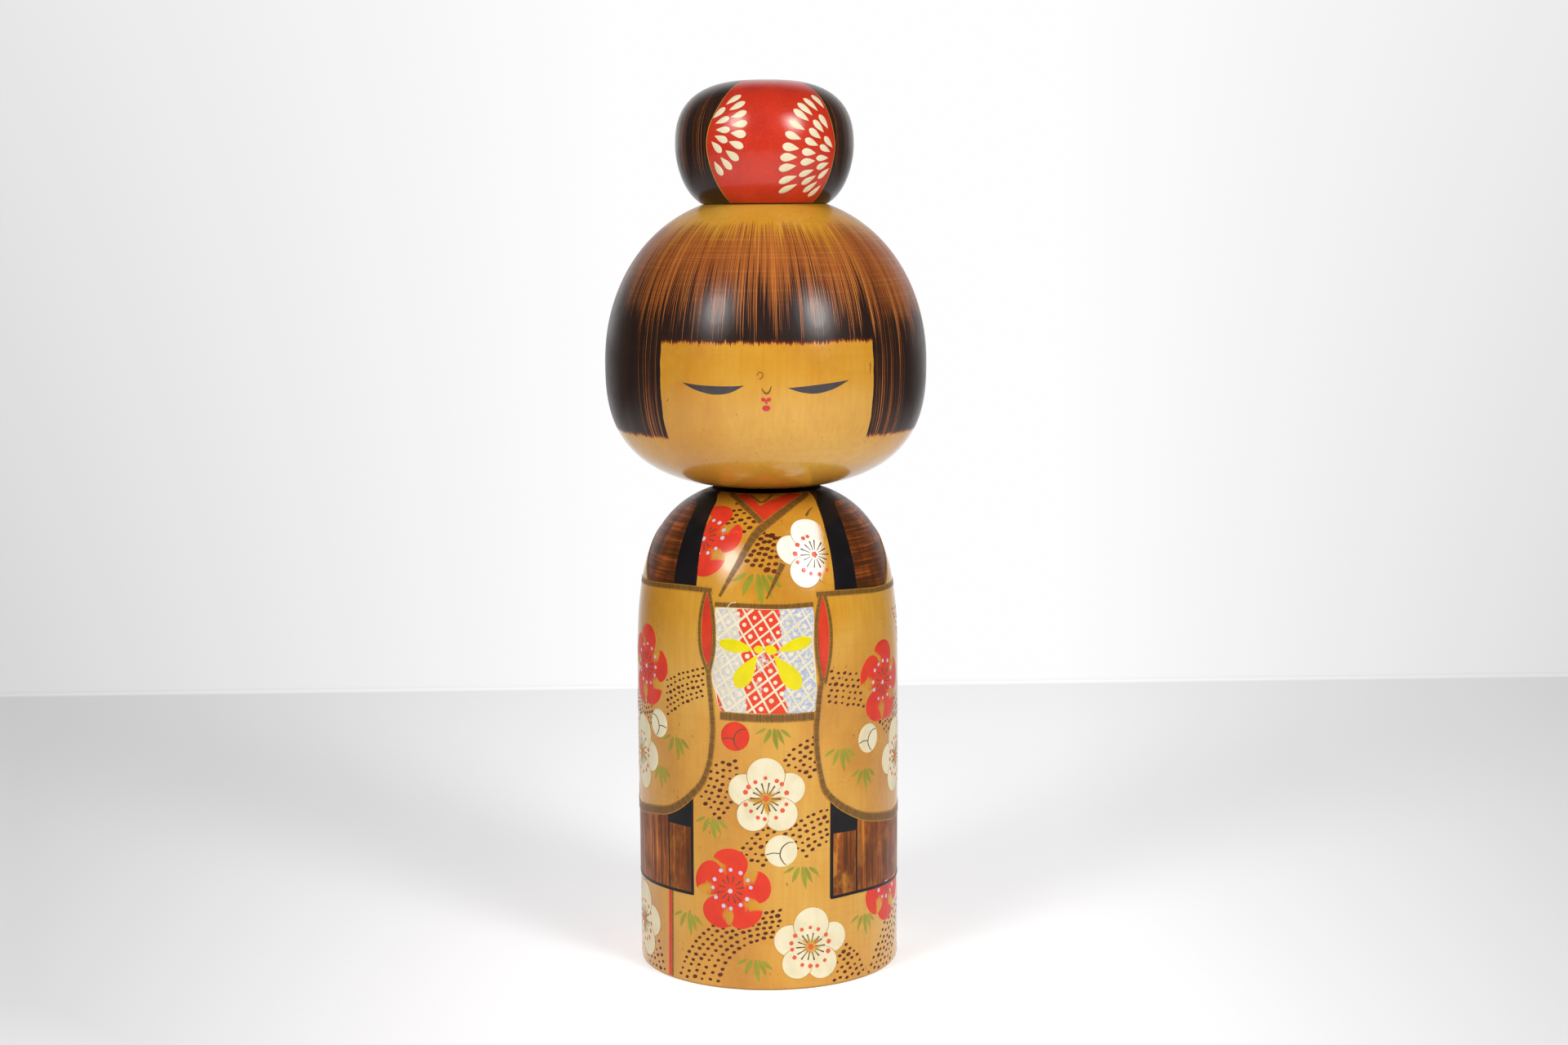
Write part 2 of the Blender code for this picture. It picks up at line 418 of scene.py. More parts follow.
class Value:
    """One output of a node. Arithmetic on it adds the nodes that work out the result."""

    def __init__(self, graph, socket):
        self.graph, self.socket = graph, socket

    def __add__(self, other):
        return self.graph.math("ADD", self, other)

    def __sub__(self, other):
        return self.graph.math("SUBTRACT", self, other)

    def __rsub__(self, other):
        return self.graph.math("SUBTRACT", other, self)

    def __mul__(self, other):
        return self.graph.math("MULTIPLY", self, other)

    def __truediv__(self, other):
        return self.graph.math("DIVIDE", self, other)

    def __rtruediv__(self, other):
        return self.graph.math("DIVIDE", other, self)

    def __abs__(self):
        return self.graph.math("ABSOLUTE", self)

    def at_least(self, other):
        return self.graph.math("MAXIMUM", self, other)

    def span(self, low, high, to_low=0.0, to_high=1.0, soft=True):
        """Maps low..high to to_low..to_high, and holds it outside."""
        kind = "SMOOTHSTEP" if soft else "LINEAR"
        values = {0: self, 1: low, 2: high, 3: to_low, 4: to_high}
        return self.graph.node("MapRange", values, interpolation_type=kind)

    def ramp(self, *stops):
        """Colours or grey levels at places from 0 to 1."""
        made = self.graph.tree.nodes.new("ShaderNodeValToRGB")
        self.graph.put(made.inputs[0], self)
        elements = made.color_ramp.elements
        while len(elements) < len(stops):
            elements.new(0.5)
        for element, (place, colour) in zip(elements, stops):
            element.position = place
            element.color = srgb(colour) if isinstance(colour, str) else (colour, colour, colour, 1.0)
        return Value(self.graph, made.outputs[0])


class Graph:
    """A material's node tree with short ways to add nodes. A text is a hexadecimal sRGB colour."""

    def __init__(self, name):
        self.material = bpy.data.materials.new(name)
        self.material.use_nodes = True
        self.tree = self.material.node_tree
        self.shader = self.tree.nodes["Principled BSDF"]
        self.place = self.node("TexCoord", output="Object")
        self.x, self.y, self.z = self.split(self.place)

    def put(self, socket, value):
        if isinstance(value, Value):
            self.tree.links.new(value.socket, socket)
        else:
            socket.default_value = srgb(value) if isinstance(value, str) else value

    def node(self, kind, values=None, output=0, **settings):
        """Adds a node and gives one of its outputs."""
        made = self.tree.nodes.new("ShaderNode" + kind)
        for key, value in settings.items():
            setattr(made, key, value)
        for key, value in (values or {}).items():
            self.put(made.inputs[key], value)
        return Value(self, made.outputs[output])

    def math(self, operation, *values):
        return self.node("Math", dict(enumerate(values)), operation=operation)

    def split(self, vector):
        made = self.tree.nodes.new("ShaderNodeSeparateXYZ")
        self.put(made.inputs[0], vector)
        return [Value(self, output) for output in made.outputs]

    def vector(self, x, y, z):
        return self.node("CombineXYZ", {0: x, 1: y, 2: z})

    def noise(self, at, detail=2.0, roughness=0.5):
        """Noise at a vector, or over the object in as many steps per metre as a tuple says."""
        if isinstance(at, tuple):
            at = self.node("VectorMath", {0: self.place, 1: at}, operation="MULTIPLY")
        values = {"Vector": at, "Scale": 1.0, "Detail": detail, "Roughness": roughness}
        return self.node("TexNoise", values, "Fac")

    def mix(self, factor, a, b):
        return self.node("Mix", {0: factor, 6: a, 7: b}, 2, data_type="RGBA")

    def attribute(self, name):
        return self.node("Attribute", output="Fac", attribute_name=name)

    def from_axis(self, x_shift=0.0, y_shift=0.0):
        """Level distance from the axis, or from a place beside it."""
        x, y = (at + shift if shift else at for at, shift in ((self.x, x_shift), (self.y, y_shift)))
        return self.math("SQRT", x * x + y * y)

    def bearing(self):
        """Degrees about the axis, 0 at the face and positive to the viewer's right."""
        return self.math("DEGREES", self.math("ARCTAN2", self.x, self.y * -1.0))

    def strands(self, around, up, shift=0.0, detail=2.0, roughness=0.5):
        """Noise stretched along the meridians: around is its steps per radian, up per metre."""
        radius = self.from_axis().at_least(0.5 * MM)
        x, y = self.x / radius * around + shift, self.y / radius * around
        return self.noise(self.vector(x, y, self.z * up), detail, roughness)

    def rings(self, around, up, shift=0.0, detail=2.0):
        """Noise stretched round the axis: around is its steps per metre, up per metre."""
        return self.noise(self.vector(self.x * around + shift, self.y * around, self.z * up), detail)

    def wood(self):
        """The ochre-stained wood: broad clouds, fine upright grain, lathe lines and flecks."""
        clouds = self.noise((26, 26, 18), 3.0)
        colour = clouds.ramp((0.32, OCHRE_DEEP), (0.5, OCHRE), (0.68, OCHRE_LIGHT))
        grain = self.noise((700, 700, 38), 4.0, 0.6)
        colour = self.mix(grain.span(0.35, 0.7, 0.0, 0.26), colour, OCHRE_DEEP)
        lines = self.rings(20, 1500)
        colour = self.mix(lines.span(0.52, 0.75, 0.0, 0.16), colour, OCHRE_DEEP)
        mottle = self.noise((420, 420, 300), 3.0, 0.65)
        colour = self.mix(mottle.span(0.4, 0.72, 0.0, 0.2), colour, OCHRE_LIGHT)
        flecks = self.noise((900, 900, 420), 1.0).span(0.7, 0.76)
        sparse = self.noise((90, 90, 90), 1.0).span(0.5, 0.62)
        colour = self.mix(flecks * sparse * 0.7, colour, FLECK)
        # Painted shade: the wood darkened just above the foot's edge, as a contact shadow
        colour = self.mix(self.z.span(0.2 * MM, 1.1 * MM, 0.75, 0.0), colour, FOOT_PAINTED_SHADE)
        return colour, lines * 0.5 + grain * 0.5

    def worn_at_neck(self, coat):
        """The coat, worn away on top of the torso where the head turns on it."""
        return self.z.span(162.9 * MM, 164.0 * MM, coat, 0.0)

    def finish(self, colour, height, roughness=0.36, coat=0.55, specular=0.12, dark_dull_top=None):
        """Colour and relief into the shader, under a coat of wax, and rougher over a top painted dark as
        shade, where one is given.
        """
        rough = self.noise((60, 60, 60), 3.0).span(0.3, 0.7, roughness - 0.05, roughness + 0.08)
        if dark_dull_top is not None:
            rough = dark_dull_top * 0.55 + rough
        relief = height + self.noise((240, 240, 240)) * 0.8
        bump = {"Height": relief, "Strength": BUMP_STRENGTH, "Distance": BUMP_DEPTH}
        for name, value in (
            ("Base Color", colour), ("Roughness", rough), ("Specular IOR Level", specular),
            ("Coat Weight", coat), ("Coat Roughness", COAT_ROUGHNESS),
            ("Normal", self.node("Bump", bump)),
        ):
            self.put(self.shader.inputs[name], value)
        return self.material


WOOD_COAT = 0.9


def sleeve_wood():
    g = Graph("sleeve_wood")
    return g.finish(*g.wood(), coat=WOOD_COAT)


def torso_wood():
    g = Graph("ochre_wood")
    colour, height = g.wood()
    # Under the foot, bare end grain with its rings off centre
    ring = g.math("SINE", g.from_axis(11 * MM) * 2600.0)
    ring = g.noise((120, 120, 120), 4.0) * 2.4 + ring * 0.35
    end_grain = ring.span(0.7, 1.9).ramp((0.0, BARE_WOOD), (1.0, BARE_RING))
    colour = g.mix(g.z.span(0.05 * MM, 0.4 * MM, 1.0, 0.0), colour, end_grain)
    # Painted shade: the flat top under the head painted dark, and made dull with no coat
    dark_dull_top = g.z.span(164.6 * MM, 164.9 * MM)
    colour = g.mix(dark_dull_top, colour, TOP_PAINTED_SHADE)
    return g.finish(colour, height, coat=dark_dull_top * -WOOD_COAT + WOOD_COAT, dark_dull_top=dark_dull_top)


def bare_wood():
    g = Graph("bare_dowel_wood")
    grain = g.noise((900, 900, 45), 4.0, 0.6)
    return g.finish(grain.ramp((0.3, BARE_WOOD), (0.72, BARE_RING)), grain, 0.55, 0.0)


def hair_colours(g, dark, warm, seed):
    """Brush strokes down the hair over the wood: dark and warm are the shares of black and brown."""
    wood, height = g.wood()
    hairline = g.strands(270, 9, seed + 3, 1.0)
    fine = g.strands(150, 11, seed, 3.0, 0.62)
    second = g.strands(190, 9, seed + 21, 2.0, 0.6)
    clump = g.strands(26, 12, seed + 7)
    broad = g.strands(7, 10, seed + 11)
    weave = g.rings(30, 1500, seed, 1.0)
    # The brown wash, with bare strokes of wood left between
    wash = fine * 0.5 + hairline * 0.3 + clump * 0.2
    brown = (wash - (warm * -0.37 + 0.68)).span(-0.02, 0.05)
    tone = clump * 0.4 + broad * 0.6
    light = tone.ramp((0.38, "c57233"), (0.5, "ad5a2a"), (0.62, "954720"))
    lines = second * 0.6 + fine * 0.4
    red_brown = g.mix(lines.ramp((0.42, 0.0), (0.52, 0.45), (0.62, 1.0)), light, "70341a")
    red_brown = g.mix(lines.span(0.36, 0.43, 0.42, 0.0), red_brown, "cc8a3c")
    red_brown = g.mix(weave.span(0.48, 0.68, 0.0, 0.22), red_brown, "c98a45")
    colour = g.mix(brown * 0.93, wood, red_brown)
    # The black strokes over it, thin at the top and closing up below
    ink = hairline * 0.36 + second * 0.5 + clump * 0.14
    black = (ink - (dark * -0.38 + 0.68)).span(-0.008, 0.022)
    # Lone thin black strokes that reach further up
    lone = (g.strands(300, 14, seed + 41, 1.0) - (dark * -0.22 + 0.76)).span(0.0, 0.03, 0.0, 0.85)
    black = black.at_least(lone * dark.span(0.02, 0.15))
    colour = g.mix(black * 0.97, colour, g.mix(broad.span(0.4, 0.6), "171213", "221814"))
    return wood, colour, fine * 2.0 + hairline + height


# The cut of the hair: heights of its lower edges, and half the width of the face in degrees
FRINGE_Z = 217.2 * MM
SIDE_HAIR_Z = 185.6 * MM
FACE_HALF_ANGLE = 39.2


def head_paint():
    g = Graph("head_paint")
    angle = g.bearing()
    aside = abs(angle - 0.5)
    ragged = g.strands(120, 0, 5.0, 2.0, 0.6)
    drift = g.noise((0, 0, 160))
    side = (aside + drift * 0.9).span(FACE_HALF_ANGLE + 0.35, FACE_HALF_ANGLE + 0.6)
    edge = side * (SIDE_HAIR_Z - FRINGE_Z) + FRINGE_Z
    jag = (ragged - 0.5) * (5.0 * MM) + (g.strands(14, 0, 9.0) - 0.5) * (2.0 * MM)
    above = g.z - edge + jag
    hair = above.span(-0.1 * MM, 0.15 * MM)
    # Strokes start and end at uneven heights
    start = (g.strands(60, 0, 15.0, 3.0, 0.7) - 0.5) * (26 * MM) + g.z
    start = (g.strands(5, 0, 19.0) - 0.5) * (14 * MM) + start
    rise = start.span(180 * MM, 262 * MM, soft=False)
    front = rise.ramp((0.0, 1.0), (0.45, 0.87), (0.52, 0.72), (0.62, 0.57), (0.72, 0.42), (0.82, 0.22),
                      (0.93, 0.0))
    flank = rise.ramp((0.0, 0.86), (0.3, 0.9), (0.5, 0.84), (0.6, 0.62), (0.74, 0.47), (0.86, 0.24),
                      (0.96, 0.0))
    # Beside the face more wood shows through, and further round the hair is solid black
    dark = g.mix(aside.span(30, 48), front, flank)
    lined = aside.span(38, 40) * aside.span(44, 60, 1.0, 0.0)
    dark = dark - lined * g.z.span(190 * MM, 235 * MM, 0.24, 0.12)
    dark = dark + aside.span(50, 66) * g.z.span(222 * MM, 240 * MM, 0.1, 0.0)
    # Painted light: the black is made thinner on the viewer's right flank, where the light falls
    right_painted_light = angle.span(44, 58) * angle.span(110, 135, 1.0, 0.0)
    dark = dark - right_painted_light * g.z.span(200 * MM, 225 * MM, 0.1, 0.2)
    warm = rise.ramp((0.0, 1.0), (0.72, 0.96), (0.84, 0.8), (0.91, 0.5), (0.97, 0.12), (1.0, 0.0))
    crown = g.z.span(254 * MM, 259.5 * MM, 1.0, 0.0)
    wood, colour, height = hair_colours(g, dark * crown, warm * crown, 2.0)
    tip = above.span(0.1 * MM, 1.2 * MM, 1.0, 0.0) * ragged.span(0.3, 0.6)
    colour = g.mix(tip * 0.85, colour, "a23c18")
    # Painted shade: the head's wood darker towards its underside, where the chin is in shade
    wood = g.mix(g.z.span(168 * MM, 179 * MM, 0.42, 0.0), wood, "8f5a1e")
    return g.finish(g.mix(hair, wood, colour), height, coat=hair.span(0.0, 1.0, 1.0, 0.3))


def bun_paint():
    g = Graph("bun_paint")
    share = g.z.span(262 * MM, 303 * MM, soft=False)
    dark = share.ramp((0.0, 1.0), (0.16, 0.88), (0.34, 0.7), (0.7, 0.68), (0.9, 0.74), (1.0, 0.8))
    colour, height = hair_colours(g, dark, 1.0, 31.0)[1:]
    return g.finish(g.mix(0.22, colour, "2a1710"), height)


BRUSH_FIBRE = (1600, 1600, 120)


def paint(name, colour, second, streak=0.0, wash=1.0, speck=0.0, roughness=0.42, coat=0.4,
          specular=0.12, worn=False):
    """Brushed paint over the wood. The cover attribute says how much of the wood it hides."""
    g = Graph(name)
    wood, height = g.wood()
    fibre = g.noise(BRUSH_FIBRE, 3.0, 0.6)
    fine = g.noise((2200, 2200, 1400))
    tint = g.mix(g.noise((180, 180, 120), 3.0).span(0.35, 0.75), colour, second)
    tint = g.mix(fine.span(0.35, 0.75, 0.0, 0.22), tint, second)
    share = (g.attribute("cover") + (fibre - 0.5) * streak).span(0.08, 0.62, 0.0, wash)
    if speck:
        share = share * fine.span(0.2, 0.5, 1.0 - speck, 1.0)
    coat = g.worn_at_neck(coat) if worn else coat
    return g.finish(g.mix(share, wood, tint), fibre * 0.5 + height * 0.6, roughness, coat, specular)


def stain():
    """The brown of the vest: brushed level on the shoulders, upright lower down."""
    g = Graph("brown_stain")
    wood, height = g.wood()
    low = g.z.span(118 * MM, 134 * MM, 1.0, 0.0)
    streak = g.mix(low, g.rings(45, 1300, 4.0, 4.0), g.strands(42, 40, 17.0, 4.0, 0.6))
    blotch = g.noise((85, 85, 60), 3.0, 0.6) * 0.5 + g.strands(12, 60, 23.0, 3.0) * 0.5
    depth = streak * 0.5 + blotch * 0.5
    upper = depth.ramp((0.36, "a85420"), (0.44, "743416"), (0.52, "481c10"), (0.62, "28110c"))
    lower = depth.ramp((0.37, "c67c2e"), (0.43, "9c501c"), (0.51, "6c3014"), (0.64, "3e190c"))
    # Light blotches, strongest beside the open front
    inner = abs(g.bearing()).span(34, 37, 1.0, 0.35)
    bare = g.noise((150, 150, 90), 3.0, 0.65).span(0.5, 0.66, 0.0, 0.6)
    lower = g.mix(inner * bare, lower, "d08a34")
    colour = g.mix(0.05, g.mix(low, upper, lower), wood)
    return g.finish(colour, streak * 0.8 + height, coat=g.worn_at_neck(0.25), specular=0.05)


def burned_line():
    """A scorched line of short ticks across it. The tone attribute is the length along it in mm."""
    g = Graph("burned_line")
    wood, height = g.wood()
    cover, along = g.attribute("cover"), g.attribute("tone")
    ticks = g.noise(g.vector(along * 4.2, cover * 0.5, 0.0), 2.0, 0.6)
    slow = g.noise(g.vector(along * 0.9, cover * 0.5, 7.0))
    uneven = ticks * 1.5 + slow * 0.6 + g.noise((2400, 2400, 2400), 1.0) * 0.4
    share = (cover + uneven - 1.25).span(-0.35, 0.6, 0.0, 0.88)
    tint = g.mix(ticks.span(0.36, 0.62), "75502a", "47300f")
    return g.finish(g.mix(share, wood, tint), height, 0.5, 0.35)


# ---------------------------------------------------------------- the three turned pieces
def prong_marks(solid):
    """The marks that the lathe's drive leaves in the foot."""
    length, width, depth, ring = 7.0 * MM, 1.6 * MM, 1.8 * MM, 9.0 * MM
    cutters = bmesh.new()
    for k in range(4):
        turn = 2 * math.pi * (k + 0.5) / 4
        place = Matrix.Rotation(turn, 4, "Z") @ Matrix.Translation((ring, 0, 0))
        bmesh.ops.create_cube(cutters, matrix=place @ Matrix.Diagonal((length, width, 2 * depth, 1)))
    data = bpy.data.meshes.new("prongs")
    cutters.to_mesh(data)
    cutters.free()
    tool = linked("prongs", data)
    cut = solid.modifiers.new("prongs", "BOOLEAN")
    cut.operation, cut.solver, cut.object = "DIFFERENCE", "EXACT", tool
    graph = bpy.context.evaluated_depsgraph_get()
    result = bpy.data.meshes.new_from_object(solid.evaluated_get(graph))
    solid.modifiers.clear()
    solid.data = result
    bpy.data.objects.remove(tool)


torso = lathe("torso_turning", torso_profile(), 256)
prong_marks(torso)
head = lathe("head_turning", head_profile(), 256)
bun = lathe("topknot_turning", bun_profile(), 224)
for solid, node, body, slot, finish in (
    (torso, "torso", "body", "torso_wood", torso_wood()),
    (head, "head", "head", "head_wood", head_paint()),
    (bun, "topknot", "head", "topknot_wood", bun_paint()),
):
    solid.data.materials.clear()
    solid.data.materials.append(finish)
    smooth(solid)
    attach(solid, body)
    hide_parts(node)
dowel_finish = bare_wood()
for node in ("neck_dowel", "topknot_dowel"):
    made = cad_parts[node]
    made.data.materials.clear()
    made.data.materials.append(dowel_finish)

# ---------------------------------------------------------------- paint finishes
WHITE = paint("white_paint", "e6dbba", "d9cca4", streak=0.35, roughness=0.5, coat=0.25)
# Painted highlight: a whiter copy of the white paint, for the chest blossom that lies in the gloss
# highlight
HIGHLIT_WHITE = paint("highlit_white_paint", "f4f1e8", "ebe4d2", streak=0.35, roughness=0.5, coat=0.3)
RED = paint("red_paint", "dc3a20", "cf3120", streak=1.1, roughness=0.45, coat=0.3)
SOLID_RED = paint("solid_red_paint", "d33a20", "c23020", streak=0.1, speck=0.12)
BUN_RED = paint("bun_red_paint", "c8301a", "b92a1c", streak=0.1, speck=0.1, coat=0.7)
DOT_RED = paint("dot_red_paint", "dc5434", "d05a40", roughness=0.5)
LAVENDER = paint("lavender_paint", "cbc8da", "bdb6cc", roughness=0.5)
GREEN = paint("green_wash", "8b952a", "757f22", streak=0.6, wash=0.88, coat=0.5)
YELLOW = paint("yellow_paint", "e2d200", "d8c900", roughness=0.4)
BLACK = paint("black_paint", "141214", "1b181a", streak=0.15, coat=0.35, specular=0.05, worn=True)
INK = paint("ink_lines", "453a2c", "332a24", streak=0.3, wash=0.9)
EYE = paint("eye_ink", "34343b", "414149", streak=0.1, wash=0.97)
BURN_DOT = paint("burned_dot", "4e200f", "632c12", roughness=0.5, coat=0.3)
SHADE = paint("soft_outline", "8a6f42", "7d6238", streak=0.5, wash=0.6)
NOSE = paint("nose_line", "7d5226", "6b451f", wash=0.92)
LIP = paint("lip_paint", "cf2f36", "b8283a", wash=0.95)
BURN = burned_line()
STAIN = stain()
SLEEVE = sleeve_wood()

# Lifts above the wood, from the first layer painted to the last
DOT_LIFT, LEAF_LIFT, PETAL_LIFT = 0.02 * MM, 0.03 * MM, 0.035 * MM
PETAL_STEP = 0.008 * MM
DETAIL_LIFT = 0.09 * MM
VEST_LIFT, BAND_LIFT, SEAM_LIFT = 0.11 * MM, 0.13 * MM, 0.15 * MM
SLEEVE_LIFT = 0.16 * MM
LINE_LIFT = 0.28 * MM

whites, highlit_whites, reds, shades = Paint(BODY), Paint(BODY), Paint(BODY), Paint(BODY)
red_dots, grey_dots, inks = Paint(BODY), Paint(BODY), Paint(BODY)
leaves, burned_dots, burned_lines = Paint(BODY), Paint(BODY), Paint(BODY)


def ring_points(count, radius, tall=1.0):
    """Points across and up round a circle, clockwise from its top."""
    turns = np.radians(360.0 * np.arange(count) / count)
    return radius * np.sin(turns), radius * np.cos(turns) * tall


def round_spot(paint_to, centre, radius, lift, tall=1.0, tilt=0.0, sides=10, across=0.0, up=0.0,
               dome=0.004 * MM):
    """A round or oval spot. tall is its height against its width, tilt in degrees anticlockwise."""
    x, y = turned(*ring_points(sides, radius, tall), -tilt)
    paint_to.fan(centre, x + across, y + up, lift, middle=(across, up), dome=dome)


LOBE_FOOT = 0.9 * MM


def lobe(reach, radius, heading):
    """A petal outline: a round lobe on a narrow foot at the middle of the blossom."""
    centre = reach - radius
    turns = np.linspace(-math.pi, math.pi, 40, endpoint=False)
    x, y = radius * np.sin(turns), centre + radius * np.cos(turns)
    low = y < centre
    share = np.clip((centre - y) / radius, 0, 1)
    y = np.where(low, centre - (centre - LOBE_FOOT) * share ** 0.9, y)
    x = np.where(low, x * (1 - 0.15 * share), x)
    return turned(x, y, heading)


def stamens(centre, size, base, count, inner, outer, offset=(0.0, 0.0)):
    """Dark strokes that start thin near the middle and end in a small knob."""
    for k in range(count):
        turn = math.radians(360 * (k + 0.5) / count + chance.uniform(-5, 5))
        start = inner * size * chance.uniform(0.9, 1.15)
        end = outer * size * chance.uniform(0.88, 1.08)
        path = []
        for reach in (start, start + (end - start) * 0.5, end):
            path.append((offset[0] + reach * math.sin(turn), offset[1] + reach * math.cos(turn)))
        inks.stroke(path, 0.29 * MM * size, base + DETAIL_LIFT - 0.01 * MM, centre=centre, steps=5,
                    taper=lambda s: 0.45 + 0.55 * s ** 1.5, columns=3, cover=0.8)


# Petals of a white blossom: heading (degrees clockwise from up), reach and radius in mm
WHITE_PETALS = ((70, 13.8, 5.4), (-71, 13.3, 5.5), (139, 13.0, 5.7), (-142, 12.7, 5.5), (0, 13.9, 6.4))


def white_blossom(angle, height, size, turn, base=0.0, bare=None, paint_to=whites):
    """bare is the heading towards which the paint thins out, if it does."""
    centre = (angle, height)
    unit = size * MM
    for order, (heading, reach, radius) in enumerate(WHITE_PETALS):
        heading = heading + turn + chance.uniform(-3, 3)
        thin = chance.uniform(0.2, 2.6)

        def cover(x, y, heading=heading, thin=thin):
            out = np.hypot(x, y) / unit
            if bare is not None:
                towards = turned(x, y, -bare)[1] / unit
                low = np.clip(towards / 4.0, 0.0, 1.0) * np.clip(-y / (3.0 * unit), 0.0, 1.0)
                outside = np.clip(out - 6.0, 0.0, 6.0)
                return np.clip(1.15 - (towards + 1.5) / 6.0 - 0.2 * outside * low, 0.0, 1.0)
            # The wood shows at the middle and a little way along the gaps between the petals
            aside = (np.degrees(np.arctan2(x, y)) - heading + 180) % 360 - 180
            out = out - thin * np.clip(np.abs(aside) / 36, 0, 1.2) ** 2
            return np.clip((out - 1.0) / 4.6, 0.0, 1.0) ** 0.75

        lift = base + PETAL_LIFT + order * PETAL_STEP
        middle = turned(0.0, 4.5 * MM, heading)
        x, y = lobe((reach + 0.2) * unit, (radius + 0.2) * unit, heading)
        shades.fan(centre, x, y, lift - 0.5 * PETAL_STEP, middle=middle,
                   cover=lambda a, b: np.clip(1.05 - np.hypot(a, b) / (16 * unit), 0, 0.9))
        x, y = lobe(reach * unit, radius * unit, heading)
        paint_to.fan(centre, x, y, lift, middle=middle, cover=cover, dome=0.01 * MM)
    count = 14
    for k in range(count):
        spread = math.radians(360 * k / count + turn + chance.uniform(-6, 6))
        reach = size * chance.uniform(6.5, 7.3) * MM
        if bare is not None and abs(math.degrees(spread) - bare + 20) < 60:
            continue
        round_spot(red_dots, centre, chance.uniform(0.72, 0.92) * unit, base + DETAIL_LIFT,
                   across=reach * math.sin(spread), up=reach * math.cos(spread) - 0.2 * MM)
    stamens(centre, size, base, 14, 1.7, 5.1)
    round_spot(red_dots, centre, 0.95 * unit, base + DETAIL_LIFT + 0.01 * MM, sides=12)


# One petal of a red blossom, pointing up: its outline in mm
RED_PETAL = ((0, 0.4), (1.8, 1.8), (4.2, 4.6), (5.9, 7.6), (6.1, 10.6), (4.4, 13.2), (1.2, 14.5),
             (-2.4, 14.2), (-5.2, 12.4), (-6.1, 9.7), (-5.3, 6.8), (-3.4, 4.0), (-1.4, 1.6))
FADED_EDGE = np.array([(-5.9, 10.6), (-6.0, 8.4), (-4.9, 6.0), (-3.2, 3.8)])
# Heading (degrees clockwise from up), and scale across and along, of each petal
RED_PETALS = ((2, 1.0, 1.0), (82, 0.9, 0.96), (149, 1.0, 0.95), (-150, 0.95, 0.95), (-60, 1.0, 0.92))


def red_blossom(angle, height, size, turn, base):
    centre = (angle, height)
    unit = size * MM
    shape = spline(RED_PETAL + RED_PETAL[:1], 4)[:-1]
    for order, (heading, wide, tall) in enumerate(RED_PETALS):
        heading = heading + turn + chance.uniform(-3, 3)
        lift = base + PETAL_LIFT + order * PETAL_STEP

        def cover(a, b, heading=heading):
            # Full colour on the clockwise side and round the tip, bare wood inside on the other side
            across, out = turned(a, b, -heading)
            across, out = across / unit, out / unit
            fade = 0.8 + 0.28 * across + 0.5 * np.clip(out - 8.8, 0, 9)
            return np.clip(np.maximum(fade, 1.6 - 0.21 * out), 0.0, 1.0)

        edge = np.stack(turned(*(FADED_EDGE * (wide, tall) * unit).T, heading), -1)
        shades.stroke(edge, 0.13 * unit, lift + 0.4 * PETAL_STEP, centre=centre, steps=4, columns=3,
                      cover=0.55)
        outline = turned(*(shape * (wide, tall) * unit).T, heading)
        middle = turned(1.6 * unit * wide, 7.4 * unit * tall, heading)
        reds.fan(centre, *outline, lift, middle=middle, cover=cover)
    count = 12
    for k in range(count):
        spread = math.radians(360 * k / count + turn + 2 + chance.uniform(-4, 4))
        reach = size * chance.uniform(6.3, 7.0) * MM
        round_spot(grey_dots, centre, chance.uniform(0.62, 0.78) * unit, base + DETAIL_LIFT,
                   across=reach * math.sin(spread) + 0.35 * MM, up=reach * math.cos(spread) + 0.9 * MM)
    stamens(centre, size, base, 12, 2.0, 4.7, offset=(0.2, 0.5))
    round_spot(grey_dots, centre, 0.8 * unit, base + DETAIL_LIFT + 0.01 * MM, sides=12)


# The curved petal edge on a bud and the short line across, as shares of its radius
BUD_EDGE = ((0.78, 0.52), (0.42, 0.5), (0.05, 0.2), (-0.08, -0.3), (0.12, -0.72), (0.3, -0.9))
BUD_LINE = ((-0.93, -0.22), (-0.5, -0.12), (-0.1, -0.16))


def bud(colour, angle, height, radius, base, flip):
    """A round bud. Its petal edge is drawn the other way round where flip is -1."""
    centre = (angle, height)
    colour.fan(centre, *ring_points(36, radius * MM), base + PETAL_LIFT + 0.03 * MM, dome=0.012 * MM)
    edge, line = (np.array(path) * (flip * radius, radius) for path in (BUD_EDGE, BUD_LINE))
    inks.stroke(edge, 0.19 * MM, base + DETAIL_LIFT, centre=centre, steps=8, columns=3,
                taper=lambda s: 0.55 + 0.6 * np.sin(np.pi * s))
    inks.stroke(line, 0.16 * MM, base + DETAIL_LIFT, centre=centre, steps=6, columns=3)


# Bamboo leaves: start and end across and up, and half width, all in mm from the top of the fan
LEAVES = (((-2.6, 0.3), (-6.4, -1.8), 0.7), ((-1.0, 0.1), (-3.4, -5.2), 1.05),
          ((0.2, 0.2), (1.4, -7.6), 1.1), ((1.2, 0.0), (3.7, -5.6), 0.95),
          ((2.5, -0.2), (6.0, -3.3), 0.85))


def bamboo(angle, height, size, mirror, base):
    for (x0, y0), (x1, y1), half in LEAVES:
        bend = chance.uniform(-0.3, 0.3)
        path = [(mirror * x0, y0), (mirror * ((x0 + x1) / 2 + bend), (y0 + y1) / 2), (mirror * x1, y1)]
        leaves.stroke(np.array(path) * size, half * size * MM, base + LEAF_LIFT, soft=True,
                      centre=(angle, height), steps=9, columns=7,
                      taper=lambda s: np.sin(np.pi * np.clip(s, 0.02, 0.98) ** 0.8) ** 0.75)


DOT_SIZES, DOT_CHANCES = (0.8, 1.0, 1.05, 1.15, 1.35), (0.2, 0.3, 0.28, 0.14, 0.08)
LOWEST_DOT = 0.9  # mm above the foot


